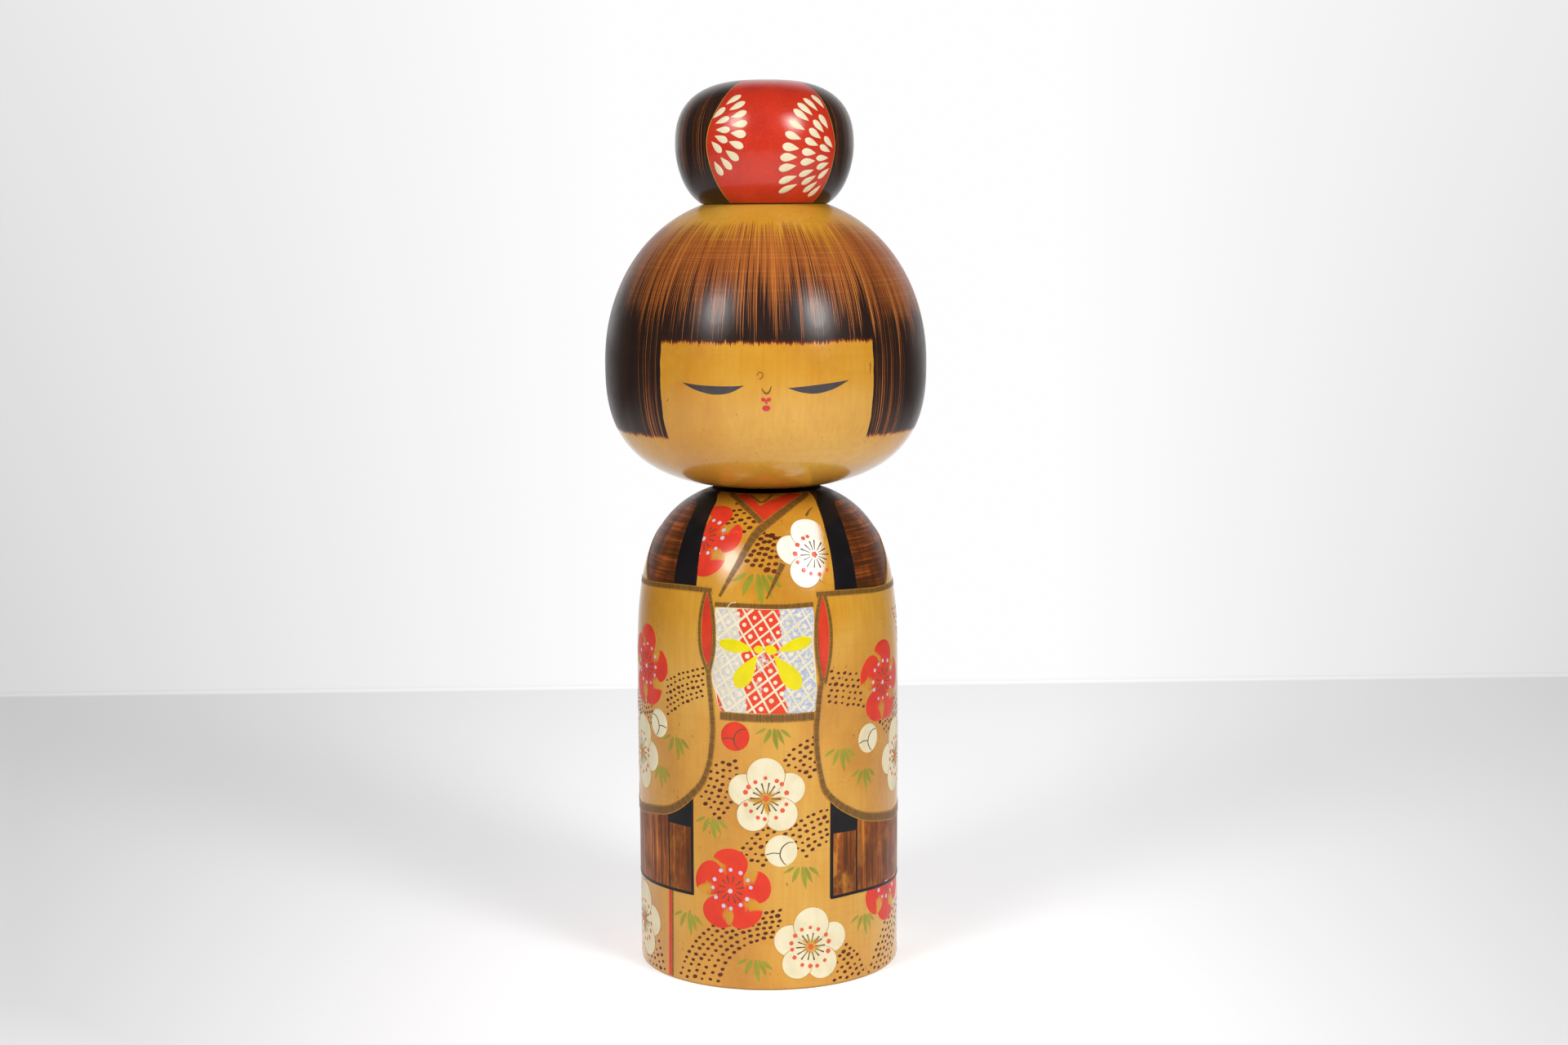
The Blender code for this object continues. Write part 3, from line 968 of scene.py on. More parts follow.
def burned_dot(angle, height, radius, base, across=0.0, up=0.0):
    round_spot(burned_dots, (angle, height), radius * MM, base + DOT_LIFT, tall=0.7,
               tilt=chance.uniform(0, 24), sides=8, across=across, up=up, dome=0.0)


def dot_band(angle, height, inner, rows, start, end, pitch):
    """Rows of burned dots on arcs about a centre. start and end are degrees clockwise from up."""
    step = 2.25
    for row in range(rows):
        radius = inner + row * pitch
        sweep = math.radians(end - start)
        count = max(2, int(abs(sweep) * radius / step))
        for k in range(count + 1):
            turn = math.radians(start) + sweep * (k + 0.3 * (row % 2)) / count
            turn += chance.uniform(-0.12, 0.12) * step / radius
            reach = radius + chance.uniform(-0.22, 0.22)
            bold = chance.choice(DOT_SIZES, p=DOT_CHANCES)
            x, y = reach * math.sin(turn) * MM, reach * math.cos(turn) * MM
            if 1.2 * MM < BODY.along(height * MM, y) < NECK_Z - 0.4 * MM:
                burned_dot(angle, height, 0.74 * bold, 0.0, x, y)


def dot_rows(first, last, rows, base, step, size):
    """Rows of burned dots between two curves, each a list of (degrees, millimetres)."""
    a, b = (evenly(spline(side, 10), 60) for side in (first, last))
    for row in range(rows):
        share = row / max(1, rows - 1)
        line = a * (1 - share) + b * share
        radius = BODY.radius(line[:, 1] * MM) / MM
        lengths = np.hypot(np.diff(line[:, 0]) / RADIAN * radius[1:], np.diff(line[:, 1]))
        reach = np.concatenate([[0], np.cumsum(lengths)])
        count = max(2, int(reach[-1] / step) + 1)
        for k in range(count):
            at = (k + 0.25 * (row % 2)) / (count - 0.6) * reach[-1] + chance.uniform(-0.2, 0.2)
            angle, z = np.interp(at, reach, line[:, 0]), np.interp(at, reach, line[:, 1])
            z += chance.uniform(-0.22, 0.22)
            if z >= LOWEST_DOT:
                bold = chance.choice(DOT_SIZES, p=DOT_CHANCES) * size
                burned_dot(angle, z, 0.76 * bold, base)


# ---------------------------------------------------------------- the vest, bands and sleeves
vest = Paint(BODY)
vest.between(
    [(-332.1, 31.0), (-331.9, 62), (-330, 100), (-328.6, 134), (-327.4, 148), (-326, 154.7),
     (-321.5, 160.7), (-312, 164.7)],
    [(-35.2, 31.4), (-34.6, 62), (-34, 100), (-33.4, 134), (-34.9, 148), (-36.6, 154.7),
     (-41.2, 161.4), (-54, 164.7)],
    VEST_LIFT, spacing=COARSE,
)
vest.piece("vest_stain", STAIN, "body", "burned_line")

bands = Paint(BODY)
bands.between(
    [(-46.7, 134.8), (-47.9, 145), (-49.5, 152), (-53.2, 158), (-62, 161.2), (-84, 162.4)],
    [(-33.4, 134.8), (-34.9, 147), (-36.4, 153.5), (-38.6, 158.5), (-43.5, 162.5), (-60, 164.8)],
    BAND_LIFT,
)
bands.between(
    [(31.4, 132.6), (32.4, 146), (34, 153.8), (37, 159), (42.5, 162.3), (60, 164.8)],
    [(44.0, 132.6), (45.2, 147), (47.4, 153.5), (52.5, 159), (62, 161.6), (84, 162.4)],
    BAND_LIFT,
)
# Behind the neck the two bands join in one collar
behind_low = [(-300, 161.4), (-270, 161.0), (-225, 158.6), (-180, 157.6), (-135, 158.6), (-90, 161.0),
              (-60, 161.4)]
behind_high = [(angle, 164.85) for angle, z in behind_low]
bands.between(behind_low, behind_high, BAND_LIFT + 0.01 * MM)
bands.between([(-48.8, 54.6), (-48.8, 74)], [(-34.5, 54.3), (-34.5, 74)], BAND_LIFT)
bands.between([(27.9, 52.6), (27.9, 72)], [(41.2, 52.4), (41.2, 72)], BAND_LIFT)
# Seams and hem of the vest
bands.stroke([(-34.9, 31.2), (-34.9, 45), (-34.7, 66)], 0.5 * MM, SEAM_LIFT)
bands.stroke([(-48.4, 31.6), (-48.5, 45), (-48.6, 58)], 0.3 * MM, SEAM_LIFT)
bands.stroke([(27.8, 30.6), (27.9, 45), (28.1, 64)], 0.6 * MM, SEAM_LIFT)
bands.stroke([(41.0, 31.0), (41.0, 45), (41.2, 56)], 0.34 * MM, SEAM_LIFT)
bands.stroke([(-180, 31.2), (-180, 90), (-180, 158)], 0.34 * MM, SEAM_LIFT)
hem = [(-332.6, 30.6), (-319, 30.9), (-300, 30.3), (-282, 29.8), (-250, 30.4), (-215, 31), (-180, 31.2),
       (-145, 31.2), (-110, 31.2), (-72, 31.2), (-50, 31.5), (-34.4, 31.5)]
bands.stroke(hem, 0.5 * MM, SEAM_LIFT + 0.005 * MM)
bands.piece("black_bands", BLACK, "body", "paint_black")

sleeves = Paint(BODY)
# The edges of the sleeves, from their lowest part up to their top line
LEFT_INNER = [(-76, 55.3), (-58, 57.3), (-48.5, 58.8), (-40.8, 61.8), (-34, 66.2), (-28.9, 70.9),
              (-25.7, 77.6), (-24.4, 84.3), (-24.0, 90), (-24.6, 97.6), (-25.7, 106), (-26.6, 120),
              (-26.2, 134.6)]
LEFT_OUTER = [(-80, 55.2), (-98, 56.2), (-108, 57.8), (-115, 60.6), (-121, 64.6), (-126, 69.6),
              (-130, 77), (-132.4, 84), (-134, 90), (-134.8, 97.6), (-135.3, 106),
              (-135.8, 120), (-136, 134)]
RIGHT_INNER = [(70, 53.0), (55, 54.8), (44.8, 56.7), (36.7, 59.7), (30.7, 62.8), (24.9, 67.6), (22.8, 73),
               (21.2, 80.4), (20.8, 88.5), (21.5, 94), (22.6, 102), (23.8, 118), (23.0, 133.2)]
RIGHT_OUTER = [(74, 53.0), (92, 53.8), (104, 55.6), (112, 58.6), (119, 63), (125, 69), (129.5, 76),
               (132, 83), (133.6, 90), (134.4, 97), (135, 106), (135.6, 120), (136, 132.6)]
LEFT_ARMHOLE = [(-68.5, 133.6), (-76, 138.2), (-82.5, 142.4), (-92, 148.5), (-109, 153.2)]
LEFT_ARM_BACK = [(-136, 133.6), (-133, 140.5), (-128, 146.6), (-121, 151.2), (-111, 153.2)]
RIGHT_ARMHOLE = [(66.5, 132.4), (72, 136), (77.6, 139.8), (88, 147), (109, 152.6)]
RIGHT_ARM_BACK = [(136, 132.4), (133, 139.5), (128, 146), (121, 150.6), (111, 152.6)]
sleeves.between(LEFT_OUTER, LEFT_INNER, SLEEVE_LIFT, spacing=COARSE)
sleeves.between(RIGHT_INNER, RIGHT_OUTER, SLEEVE_LIFT, spacing=COARSE)
sleeves.between(LEFT_ARM_BACK, LEFT_ARMHOLE, SLEEVE_LIFT, spacing=COARSE)
sleeves.between(RIGHT_ARMHOLE, RIGHT_ARM_BACK, SLEEVE_LIFT, spacing=COARSE)
sleeves.piece("sleeve_wood", SLEEVE, "body", "torso_wood")

openings = Paint(BODY)
openings.between([(-27.5, 134.2), (-28.8, 128), (-29.1, 121.7), (-28.4, 115), (-25.9, 109.9)],
                 [(-27.2, 134.2), (-25.2, 128), (-24.4, 121.9), (-24.5, 115), (-25.6, 109.9)], LINE_LIFT)
openings.between([(24.7, 132.8), (22.8, 127), (22.1, 121), (22.4, 113), (24.0, 105.5)],
                 [(25.0, 132.8), (26.4, 127), (27.0, 120.7), (26.4, 113), (24.3, 105.5)], LINE_LIFT)
# The kimono's red edge on the skirt
openings.stroke([(-48.0, 31), (-48.4, 16), (-48.8, 0.9)], 0.85 * MM, LEAF_LIFT)
# The two bands of the inner collar
openings.between([(-35, 164.0), (-18.3, 161.5), (-9.5, 159.1), (-3.9, 156.9)],
                 [(-19.5, 164.7), (-11.7, 163.5), (-6.9, 162.3), (-3.2, 160.4)], LEAF_LIFT)
openings.between([(36, 164.3), (15.1, 161.6), (4.0, 158.4), (-2.2, 156.5), (-4.0, 156.2)],
                 [(23, 164.8), (13.6, 164.0), (2.1, 162.9), (-3.5, 161.8), (-7.8, 160.9)],
                 LEAF_LIFT + 0.01 * MM)
openings.piece("red_openings", SOLID_RED, "body", "paint_red")


def burn(points, half=1.1, base=0.0, **settings):
    burned_lines.stroke(points, half * MM, base + DETAIL_LIFT, soft=True, tone="length", **settings)


def wide_below(points):
    """Widens a sleeve's burned edge towards its lowest part."""
    heights = [z for angle, z in points]
    low, high = min(heights), max(heights)
    even = np.linspace(0, 1, len(points))

    def wider(share):
        rise = (np.interp(share, even, heights) - low) / (0.3 * (high - low))
        return 1.0 + 0.75 * np.clip(1 - rise, 0, 1)

    return wider


SLEEVE_LINE = LINE_LIFT - DETAIL_LIFT + 0.02 * MM
burn([(-25.4, 134.9), (-34.5, 135.1), (-45.3, 135.0), (-60, 134.4), (-80, 133.8), (-110, 133.6),
      (-136, 133.6)], 0.95, SLEEVE_LINE)
burn([(22.2, 133.6), (32.6, 133.5), (44.4, 133.1), (60, 132.4), (80, 132.2), (110, 132.2), (136, 132.4)],
     0.95, SLEEVE_LINE)
# A sleeve's inner edge ends at the foot of its red opening
for inner, top, outer in (
    (LEFT_INNER, (-26.0, 110.5), LEFT_OUTER), (RIGHT_INNER, (24.0, 106), RIGHT_OUTER),
):
    burn(inner[:11] + [top], 0.95, SLEEVE_LINE, taper=wide_below(inner[:12]))
    burn(outer, 0.95, SLEEVE_LINE, taper=wide_below(outer))
    burn([inner[1], inner[0], outer[0], outer[1]], 1.6, SLEEVE_LINE + 0.004 * MM)
for inner, outer in (
    ([(-28.2, 134.6), (-29.8, 128), (-30.2, 121.7), (-29.4, 115), (-26.5, 108.6)],
     [(-26.4, 134.6), (-24.2, 128), (-23.3, 121.9), (-23.4, 115), (-25.2, 108.6)]),
    ([(24.0, 133.4), (21.8, 127), (21.0, 121), (21.4, 113), (23.4, 104)],
     [(25.9, 133.4), (27.5, 127), (28.1, 120.7), (27.4, 113), (24.9, 104)]),
):
    burn(inner, 0.62, SLEEVE_LINE + 0.01 * MM)
    burn(outer, 0.62, SLEEVE_LINE + 0.01 * MM)
for edge in (LEFT_ARMHOLE + LEFT_ARM_BACK[::-1], RIGHT_ARMHOLE + RIGHT_ARM_BACK[::-1]):
    burn(edge, 0.45, SLEEVE_LINE)
# Collar and folds over the chest
burn([(43.5, 164.6), (22.7, 162.3), (10.7, 159.8), (2.6, 157.2), (-4.0, 154.4), (-8.5, 150.8),
      (-13.3, 144.4), (-17.7, 138.4), (-21.4, 133.2)], 1.7,
     taper=lambda s: np.interp(s, [0, 0.3, 0.5, 0.75, 1], [0.7, 0.95, 1.0, 0.66, 0.3]))
burn([(-37.0, 164.6), (-23.6, 163.0), (-14.4, 160.9), (-8.3, 159.0), (-3.3, 156.8)], 1.15)
burn([(7.4, 144.0), (3.6, 138.6), (-0.3, 132.8)], 1.1, taper=lambda s: 1 - 0.75 * s)
burn([(33.0, 160.5), (29, 159.6), (25.2, 158.3)], 0.45, taper=lambda s: 0.4 + 0.8 * s)
burn([(-15.5, 164.3), (-9, 163.3), (-4.4, 162.4), (0.6, 163.2), (5, 164.4)], 0.5)
# Round the sash
burn([(-23.4, 130.6), (-10, 130.5), (6, 130.2), (20.4, 130.5)], 0.85)
burn([(-20.6, 93.6), (-10, 93.3), (6, 93.1), (19.8, 93.3)], 1.5)
burn([(-46.6, 31), (-46.9, 16), (-47.3, 0.9)], 0.4)

# ---------------------------------------------------------------- the sash and its cord
SASH = (-1.1, 112.8)
SASH_EDGE = ((-16.6, 16.6), (-8, 16.9), (0, 16.6), (8, 16.9), (15.9, 16.9), (16.2, 4), (17.3, -8.9),
             (17.5, -13.6), (16, -18.1), (6, -18.3), (-6, -18.2), (-14.6, -17.8), (-16.9, -11),
             (-18.1, -5.6), (-17.4, 4))
# The cells of the sash, in mm: from one to the next down to the right, and up to the right
STEP_DOWN, STEP_UP = np.array([2.04, -3.77]), np.array([3.4, 2.7])
FIRST_CELL = np.array([-1.18, 10.2])
CELLS = range(-9, 10)


def in_sash(x, y, margin):
    """Whether a point in mm lies inside the sash, at least a margin from its edge."""
    inside, closest = False, math.inf
    for (x0, y0), (x1, y1) in zip(SASH_EDGE, SASH_EDGE[1:] + SASH_EDGE[:1]):
        if (y0 > y) != (y1 > y) and x < (x1 - x0) * (y - y0) / (y1 - y0) + x0:
            inside = not inside
        t = ((x - x0) * (x1 - x0) + (y - y0) * (y1 - y0)) / ((x1 - x0) ** 2 + (y1 - y0) ** 2)
        t = min(max(t, 0.0), 1.0)
        closest = min(closest, math.hypot(x - x0 - t * (x1 - x0), y - y0 - t * (y1 - y0)))
    return inside and closest >= margin


def sash_red(across, up):
    """1 in the red stripe that runs down the middle of the sash, 0 outside it."""
    x, y = across / MM, up / MM
    middle = -0.8 - 0.085 * y
    stripe = np.clip((7.0 - np.abs(x - middle)) / 1.6 + 0.5, 0, 1)
    corner = np.clip((-13.2 - x + (y + 18) * -0.25) / 1.2, 0, 1) * np.clip((-10.5 - y) / 1.5, 0, 1)
    return np.maximum(stripe, corner)


def sash_material():
    g = Graph("sash_paint")
    height = g.wood()[1]
    fine = g.noise((1300, 1300, 1300), 3.0, 0.6)
    cool = g.mix(g.x.span(-8 * MM, 12 * MM), "c4bcb6", "a3abc2")
    cool = g.mix(fine.span(0.42, 0.66, 0.0, 0.75), cool, "e2dccf")
    # The red is stamped unevenly over the middle stripe
    hot = g.attribute("tone") + (fine - 0.52) * 1.1 - g.noise((260, 260, 200)).span(0.5, 0.68, 0.0, 0.5)
    colour = g.mix(hot.span(0.42, 0.62), cool, "db4029")
    relief = g.noise(BRUSH_FIBRE, 3.0, 0.6) * 0.5 + height * 0.6
    return g.finish(colour, relief, 0.5, 0.25)


sash, lattice, bow = Paint(BODY), Paint(BODY), Paint(BODY)
outline = spline(SASH_EDGE + SASH_EDGE[:1], 6)[:-1] * MM
sash.fan(SASH, *outline.T, PETAL_LIFT, tone=sash_red)
sash.piece("sash_ground", sash_material(), "body", "paint_white")

for along, across in ((STEP_DOWN, STEP_UP), (STEP_UP, STEP_DOWN)):
    unit = along / np.hypot(*along)
    for k in CELLS:
        start = FIRST_CELL + (k + 0.5) * across + chance.uniform(-0.18, 0.18, 2)
        sway = chance.uniform(-0.035, 0.035)
        run = []
        for t in np.arange(-46, 46, 0.7):
            x, y = start + unit * t + np.array([-unit[1], unit[0]]) * sway * t
            if in_sash(x, y, 0.12):
                run.append((x, y))
        if len(run) > 4:
            lattice.stroke(run, chance.uniform(0.29, 0.4) * MM, PETAL_LIFT + 0.02 * MM, centre=SASH,
                           steps=1, columns=3)
for i in CELLS:
    for j in CELLS:
        x, y = FIRST_CELL + i * STEP_DOWN + j * STEP_UP + chance.uniform(-0.25, 0.25, 2)
        if in_sash(x, y, 0.7):
            round_spot(lattice, SASH, chance.uniform(0.62, 0.85) * MM, PETAL_LIFT + 0.025 * MM, sides=10,
                       across=x * MM, up=y * MM, dome=0.02 * MM)
rim = spline(SASH_EDGE + SASH_EDGE[:1], 5)
lattice.stroke(rim, 0.2 * MM, PETAL_LIFT + 0.022 * MM, centre=SASH, steps=1, columns=3,
               taper=lambda s: 0.8 + 0.5 * np.sin(40 * s))
# A loose end of white paint above the sash
lattice.stroke([(-12.6, 16.7), (-11.9, 17.9), (-10.9, 18.6), (-9.6, 18.7)], 0.13 * MM,
               DETAIL_LIFT + 0.03 * MM, centre=SASH, steps=6, columns=3, cover=0.7)
lattice.piece("sash_lattice", WHITE, "body", "paint_white")


def leaf_shape(length, width, fat, points=36):
    """A brush mark along +across from 0 to length: fat is where it is widest, as a share."""
    t = np.linspace(0, 2 * math.pi, points, endpoint=False)
    x = 0.5 - 0.5 * np.cos(t)
    bend = x ** (math.log(0.5) / math.log(fat))
    y = 0.5 * width * np.sign(np.sin(t)) * np.abs(np.sin(np.pi * bend)) ** 0.55
    return x * length, y


def bow_mark(start, heading, length, width, fat):
    """start in mm from the sash's middle, heading in degrees anticlockwise from across."""
    outline = turned(*leaf_shape(length, width, fat), -heading)
    middle = turned(0.5 * length, 0.0, -heading)
    (x, y), middle = (np.transpose(np.transpose(part) + start) * MM for part in (outline, middle))
    bow.fan(SASH, x, y, DETAIL_LIFT, middle=middle, dome=0.05 * MM)


for mark in (
    ((-4.2, 3.3), 170, 11.6, 4.4, 0.58), ((4.4, 2.9), 17, 11.8, 4.3, 0.62),
    ((-2.5, 1.7), 237, 13.2, 6.0, 0.68), ((2.8, 1.6), 306.5, 14.6, 6.3, 0.68),
    ((-3.7, 3.5), -4, 3.2, 2.7, 0.5), ((-0.1, 3.9), -20, 4.3, 3.2, 0.5),
):
    bow_mark(*mark)
bow.piece("sash_cord", YELLOW, "body", "paint_yellow")

# ---------------------------------------------------------------- blossoms, buds, leaves and dots
# Places in degrees and mm. A motif painted on a sleeve starts from the sleeve's own lift.
# The chest blossom takes the whiter paint, a painted highlight
white_blossom(23.6, 146.4, 0.97, -4, bare=95, paint_to=highlit_whites)
for blossom, angle, height, size, turn, base in (
    (white_blossom, -1.0, 66.0, 1.0, 0, 0), (white_blossom, 18.0, 14.6, 0.98, 4, 0),
    (white_blossom, -73.0, 75.5, 1.0, 20, SLEEVE_LIFT), (white_blossom, 75.4, 73.0, 1.0, -14, SLEEVE_LIFT),
    (white_blossom, -73.5, 16.0, 1.0, 8, 0), (red_blossom, -34.9, 151.1, 0.98, 2, 0),
    (red_blossom, -65.7, 106.1, 1.0, 0, SLEEVE_LIFT), (red_blossom, 59.4, 100.8, 1.0, 0, SLEEVE_LIFT),
    (red_blossom, -16.8, 34.0, 1.0, -4, 0), (red_blossom, 63.5, 31.0, 1.0, 28, 0),
    # Sides and back
    (red_blossom, -112, 78.0, 1.0, 40, SLEEVE_LIFT), (white_blossom, -104, 112.0, 0.95, 30, SLEEVE_LIFT),
    (white_blossom, 110, 104.0, 0.95, 12, SLEEVE_LIFT), (red_blossom, 116, 76.0, 1.0, -30, SLEEVE_LIFT),
    (red_blossom, -112, 14.5, 1.0, 20, 0), (white_blossom, -156, 14.0, 1.0, -10, 0),
    (red_blossom, 160, 15.0, 1.0, -25, 0), (white_blossom, 112, 14.5, 1.0, 24, 0),
):
    blossom(angle, height, size, turn, base)

for paint_to, angle, height, radius, base, flip in (
    (reds, -14.1, 86.8, 4.9, 0, 1), (whites, 5.3, 48.1, 5.4, 0, 1),
    (whites, -54.9, 87.8, 4.9, SLEEVE_LIFT, -1), (whites, 48.5, 83.0, 5.0, SLEEVE_LIFT, 1),
    (reds, -92, 91.0, 4.8, SLEEVE_LIFT, 1), (whites, 95, 88.0, 4.8, SLEEVE_LIFT, 1),
    (whites, -134, 19.0, 5.0, 0, 1), (reds, 136, 18.0, 5.0, 0, 1),
):
    bud(paint_to, angle, height, radius, base, flip)

for angle, height, size, base in (
    (-4.6, 140.6, 1.35, 0), (2.3, 89.5, 0.95, 0), (-43.5, 84.3, 1.0, SLEEVE_LIFT),
    (-54.5, 73.0, 1.0, SLEEVE_LIFT), (32.6, 81.0, 1.0, SLEEVE_LIFT), (45.5, 72.6, 0.95, SLEEVE_LIFT),
    (-25.0, 58.3, 0.95, 0), (14.2, 42.2, 1.0, 0), (-37.6, 24.3, 1.0, 0), (-6.2, 10.6, 1.0, 0),
    (45.6, 22.2, 0.95, 0), (-86, 62.0, 0.9, SLEEVE_LIFT), (96, 66.0, 0.9, SLEEVE_LIFT),
    (-120, 100.0, 1.0, SLEEVE_LIFT), (124, 122.0, 0.9, SLEEVE_LIFT), (-92, 26.0, 0.95, 0),
    (-134, 10.0, 0.7, 0), (180, 24.0, 0.95, 0), (134, 9.0, 0.7, 0), (90, 25.0, 0.9, 0),
):
    bamboo(angle, height, size, -1 if angle > 80 else 1, base)

dot_band(-42.5, 74.5, 13.6, 5, 80, 133, 2.3)
dot_band(26.7, 68.3, 8.4, 6, -58, -20, 2.05)
dot_band(29.4, 36.4, 14.0, 6, -47, -3, 2.15)
dot_band(9.2, 38.8, 10.3, 5, -64, -22, 2.1)
for first, last, rows, base, step, size in (
    # Chest
    ([(-22.5, 161.8), (-6.3, 156.4)], [(-26.3, 157.6), (-14.3, 151.8)], 4, 0, 2.1, 1.2),
    ([(-1.6, 153.4), (-10.2, 144.0)], [(6.6, 152.2), (3.2, 140.9)], 5, 0, 2.2, 1.25),
    # Sleeves
    ([(-48.5, 103.3), (-38, 106.8), (-27.6, 109.2)], [(-48.5, 91.7), (-38, 96.8), (-28.5, 99.6)], 6,
     SLEEVE_LIFT, 2.0, 0.95),
    ([(28, 107.6), (42, 105.6)], [(26.2, 97.8), (45.5, 94.4)], 6, SLEEVE_LIFT, 2.5, 1.05),
    # Skirt
    ([(-22.7, 2.6), (-19, 9.3), (-12, 15.1), (-4, 17.8), (5, 18.8)],
     [(-42.5, 2.0), (-37, 11.4), (-26, 20.7), (-12, 25.5), (5, 27.8)], 6, 0, 2.4, 1.0),
    ([(35.3, 13.3), (41.5, 9.0), (45.8, 1.8)], [(26.8, 4.6), (28.2, 3.3), (29.4, 1.6)], 6, 0, 2.1, 1.0),
    ([(49, 1.6), (55, 8.5), (61, 15), (66.5, 21)], [(68, 1.6), (73, 8), (80, 15), (88, 21.5)],
     6, 0, 2.4, 1.0),
    ([(-71.5, 29), (-64, 20), (-57.5, 11), (-52.8, 1.5)], [(-88, 22), (-80, 14), (-72, 7), (-66.5, 1.5)],
     5, 0, 2.3, 1.0),
    # Sides and back
    ([(57, 87.5), (66, 90), (77, 94.5)], [(62.5, 83.0), (70, 85), (82, 88)], 4, SLEEVE_LIFT, 2.1, 1.0),
    ([(-60, 94.5), (-70, 93), (-80, 96)], [(-61, 87), (-70, 86), (-82, 90)], 5, SLEEVE_LIFT, 2.1, 1.0),
    ([(-92, 126), (-108, 128), (-124, 124)], [(-90, 121), (-94, 116), (-92, 106)],
     5, SLEEVE_LIFT, 2.3, 1.0),
    ([(92, 124), (100, 118), (96, 108)], [(74, 124), (80, 118), (82, 112)], 5, SLEEVE_LIFT, 2.3, 1.0),
    ([(-124, 90), (-116, 94), (-106, 92)], [(-126, 80), (-124, 66), (-112, 62)], 3, SLEEVE_LIFT, 2.3, 1.0),
    ([(-96, 2), (-98, 10), (-100, 26)], [(-84, 2), (-86, 8), (-84, 12)], 4, 0, 2.3, 1.0),
    ([(-124, 2), (-134, 6), (-142, 2)], [(-126, 26), (-134, 28), (-146, 26)], 3, 0, 2.3, 1.0),
    ([(146, 2), (140, 12), (128, 26)], [(134, 2), (128, 8), (124, 24)], 4, 0, 2.3, 1.0),
    ([(92, 2), (98, 10), (100, 20)], [(84, 2), (86, 8), (86, 16)], 3, 0, 2.3, 1.0),
):
    dot_rows(first, last, rows, base, step, size)

for paint_of, name, material, slot in (
    (shades, "blossom_outlines", SHADE, "burned_line"),
    (whites, "white_blossoms", WHITE, "paint_white"),
    (highlit_whites, "chest_white_blossom", HIGHLIT_WHITE, "paint_white"),
    (reds, "red_blossoms", RED, "paint_red"),
    (red_dots, "blossom_red_dots", DOT_RED, "paint_red"),
    (grey_dots, "blossom_grey_dots", LAVENDER, "paint_white"),
    (inks, "stamens_and_buds", INK, "paint_black"),
    (leaves, "bamboo_leaves", GREEN, "paint_green"),
    (burned_dots, "burned_dots", BURN_DOT, "burned_line"),
    (burned_lines, "burned_lines", BURN, "burned_line"),
):
    paint_of.piece(name, material, "body", slot)

# ---------------------------------------------------------------- the face
NOSE_LIFT, LIP_STEM_LIFT, FACE_LIFT = 0.02 * MM, 0.026 * MM, 0.03 * MM
eyes, nose, lips = Paint(HEAD), Paint(HEAD), Paint(HEAD)
for top, low in (
    ([(-29.4, 204.5), (-24, 203.9), (-18, 203.6), (-12, 203.6), (-7.5, 203.8)],
     [(-29.4, 204.4), (-25, 202.4), (-18.5, 200.9), (-12.5, 201.4), (-7.5, 203.7)]),
    ([(7.5, 203.0), (12, 203.3), (17.5, 203.8), (23, 204.3), (29.3, 205.0)],
     [(7.5, 202.9), (12, 201.5), (17.4, 201.0), (23.5, 202.3), (29.3, 204.9)]),
):
    eyes.between(low, top, FACE_LIFT, spacing=0.6 * MM)
eyes.piece("eyes", EYE, "head", "paint_black")
# The small curl of the brow, then the nose
nose.stroke([(-3.0, 207.1), (-2.3, 208.1), (-1.3, 207.9), (-1.0, 207.0), (-1.5, 206.2), (-2.3, 205.9)],
            0.3 * MM, NOSE_LIFT, soft=True, cover=0.65)
nose.stroke([(-1.4, 203.0), (-0.7, 201.8), (0.3, 201.3), (1.2, 202.0), (1.8, 203.6)], 0.4 * MM, NOSE_LIFT,
            soft=True, taper=lambda s: 0.5 + 0.7 * np.sin(np.pi * s))
nose.piece("nose", NOSE, "head", "burned_line")
# The upper lip is two spots and a stem, and the lower lip is one wide spot
round_spot(lips, (-0.85, 199.3), 0.8 * MM, FACE_LIFT, tall=0.85, tilt=-18, sides=14)
round_spot(lips, (0.95, 199.3), 0.8 * MM, FACE_LIFT + 0.004 * MM, tall=0.85, tilt=18, sides=14)
lips.stroke([(0.0, 199.2), (0.1, 198.4), (0.3, 197.9)], 0.32 * MM, LIP_STEM_LIFT, columns=3)
round_spot(lips, (0.1, 196.5), 1.35 * MM, FACE_LIFT, tall=0.72, sides=18)
lips.piece("lips", LIP, "head", "paint_red")

# ---------------------------------------------------------------- the topknot's cloth
cloth, drops, trim = Paint(BUN), Paint(BUN), Paint(BUN)
CLOTH_LEFT = [(-30.2, 261.9), (-33.9, 267.1), (-36.4, 272.2), (-38.0, 277.4), (-38.4, 281.9),
              (-36.9, 286.6), (-33.8, 291.4), (-30.6, 296.6), (-29.5, 300.4), (-31.5, 302.6)]
CLOTH_RIGHT = [(46.0, 261.9), (47.2, 266.5), (48.6, 271.6), (49.7, 276.6), (50.1, 281.0), (48.7, 285.6),
               (47.3, 290.8), (47.0, 295.8), (48.5, 299.8), (56, 302.6)]
CLOTH_MARGIN = 3.2  # degrees that the middle of a drop stays inside the cloth's edges
CLOTH_LIFT, TRIM_LIFT = 0.03 * MM, 0.04 * MM
cloth.between(CLOTH_LEFT, CLOTH_RIGHT, CLOTH_LIFT)
cloth.piece("topknot_cloth", BUN_RED, "head", "paint_red")
trim.stroke([(angle - 0.5, z) for angle, z in CLOTH_LEFT], 0.17 * MM, TRIM_LIFT, columns=3)
trim.stroke([(angle + 0.4, z) for angle, z in CLOTH_RIGHT], 0.13 * MM, TRIM_LIFT, columns=3)
trim.piece("topknot_cloth_edges", paint("cloth_edge", "c98a34", "a96a28"), "head", "burned_line")


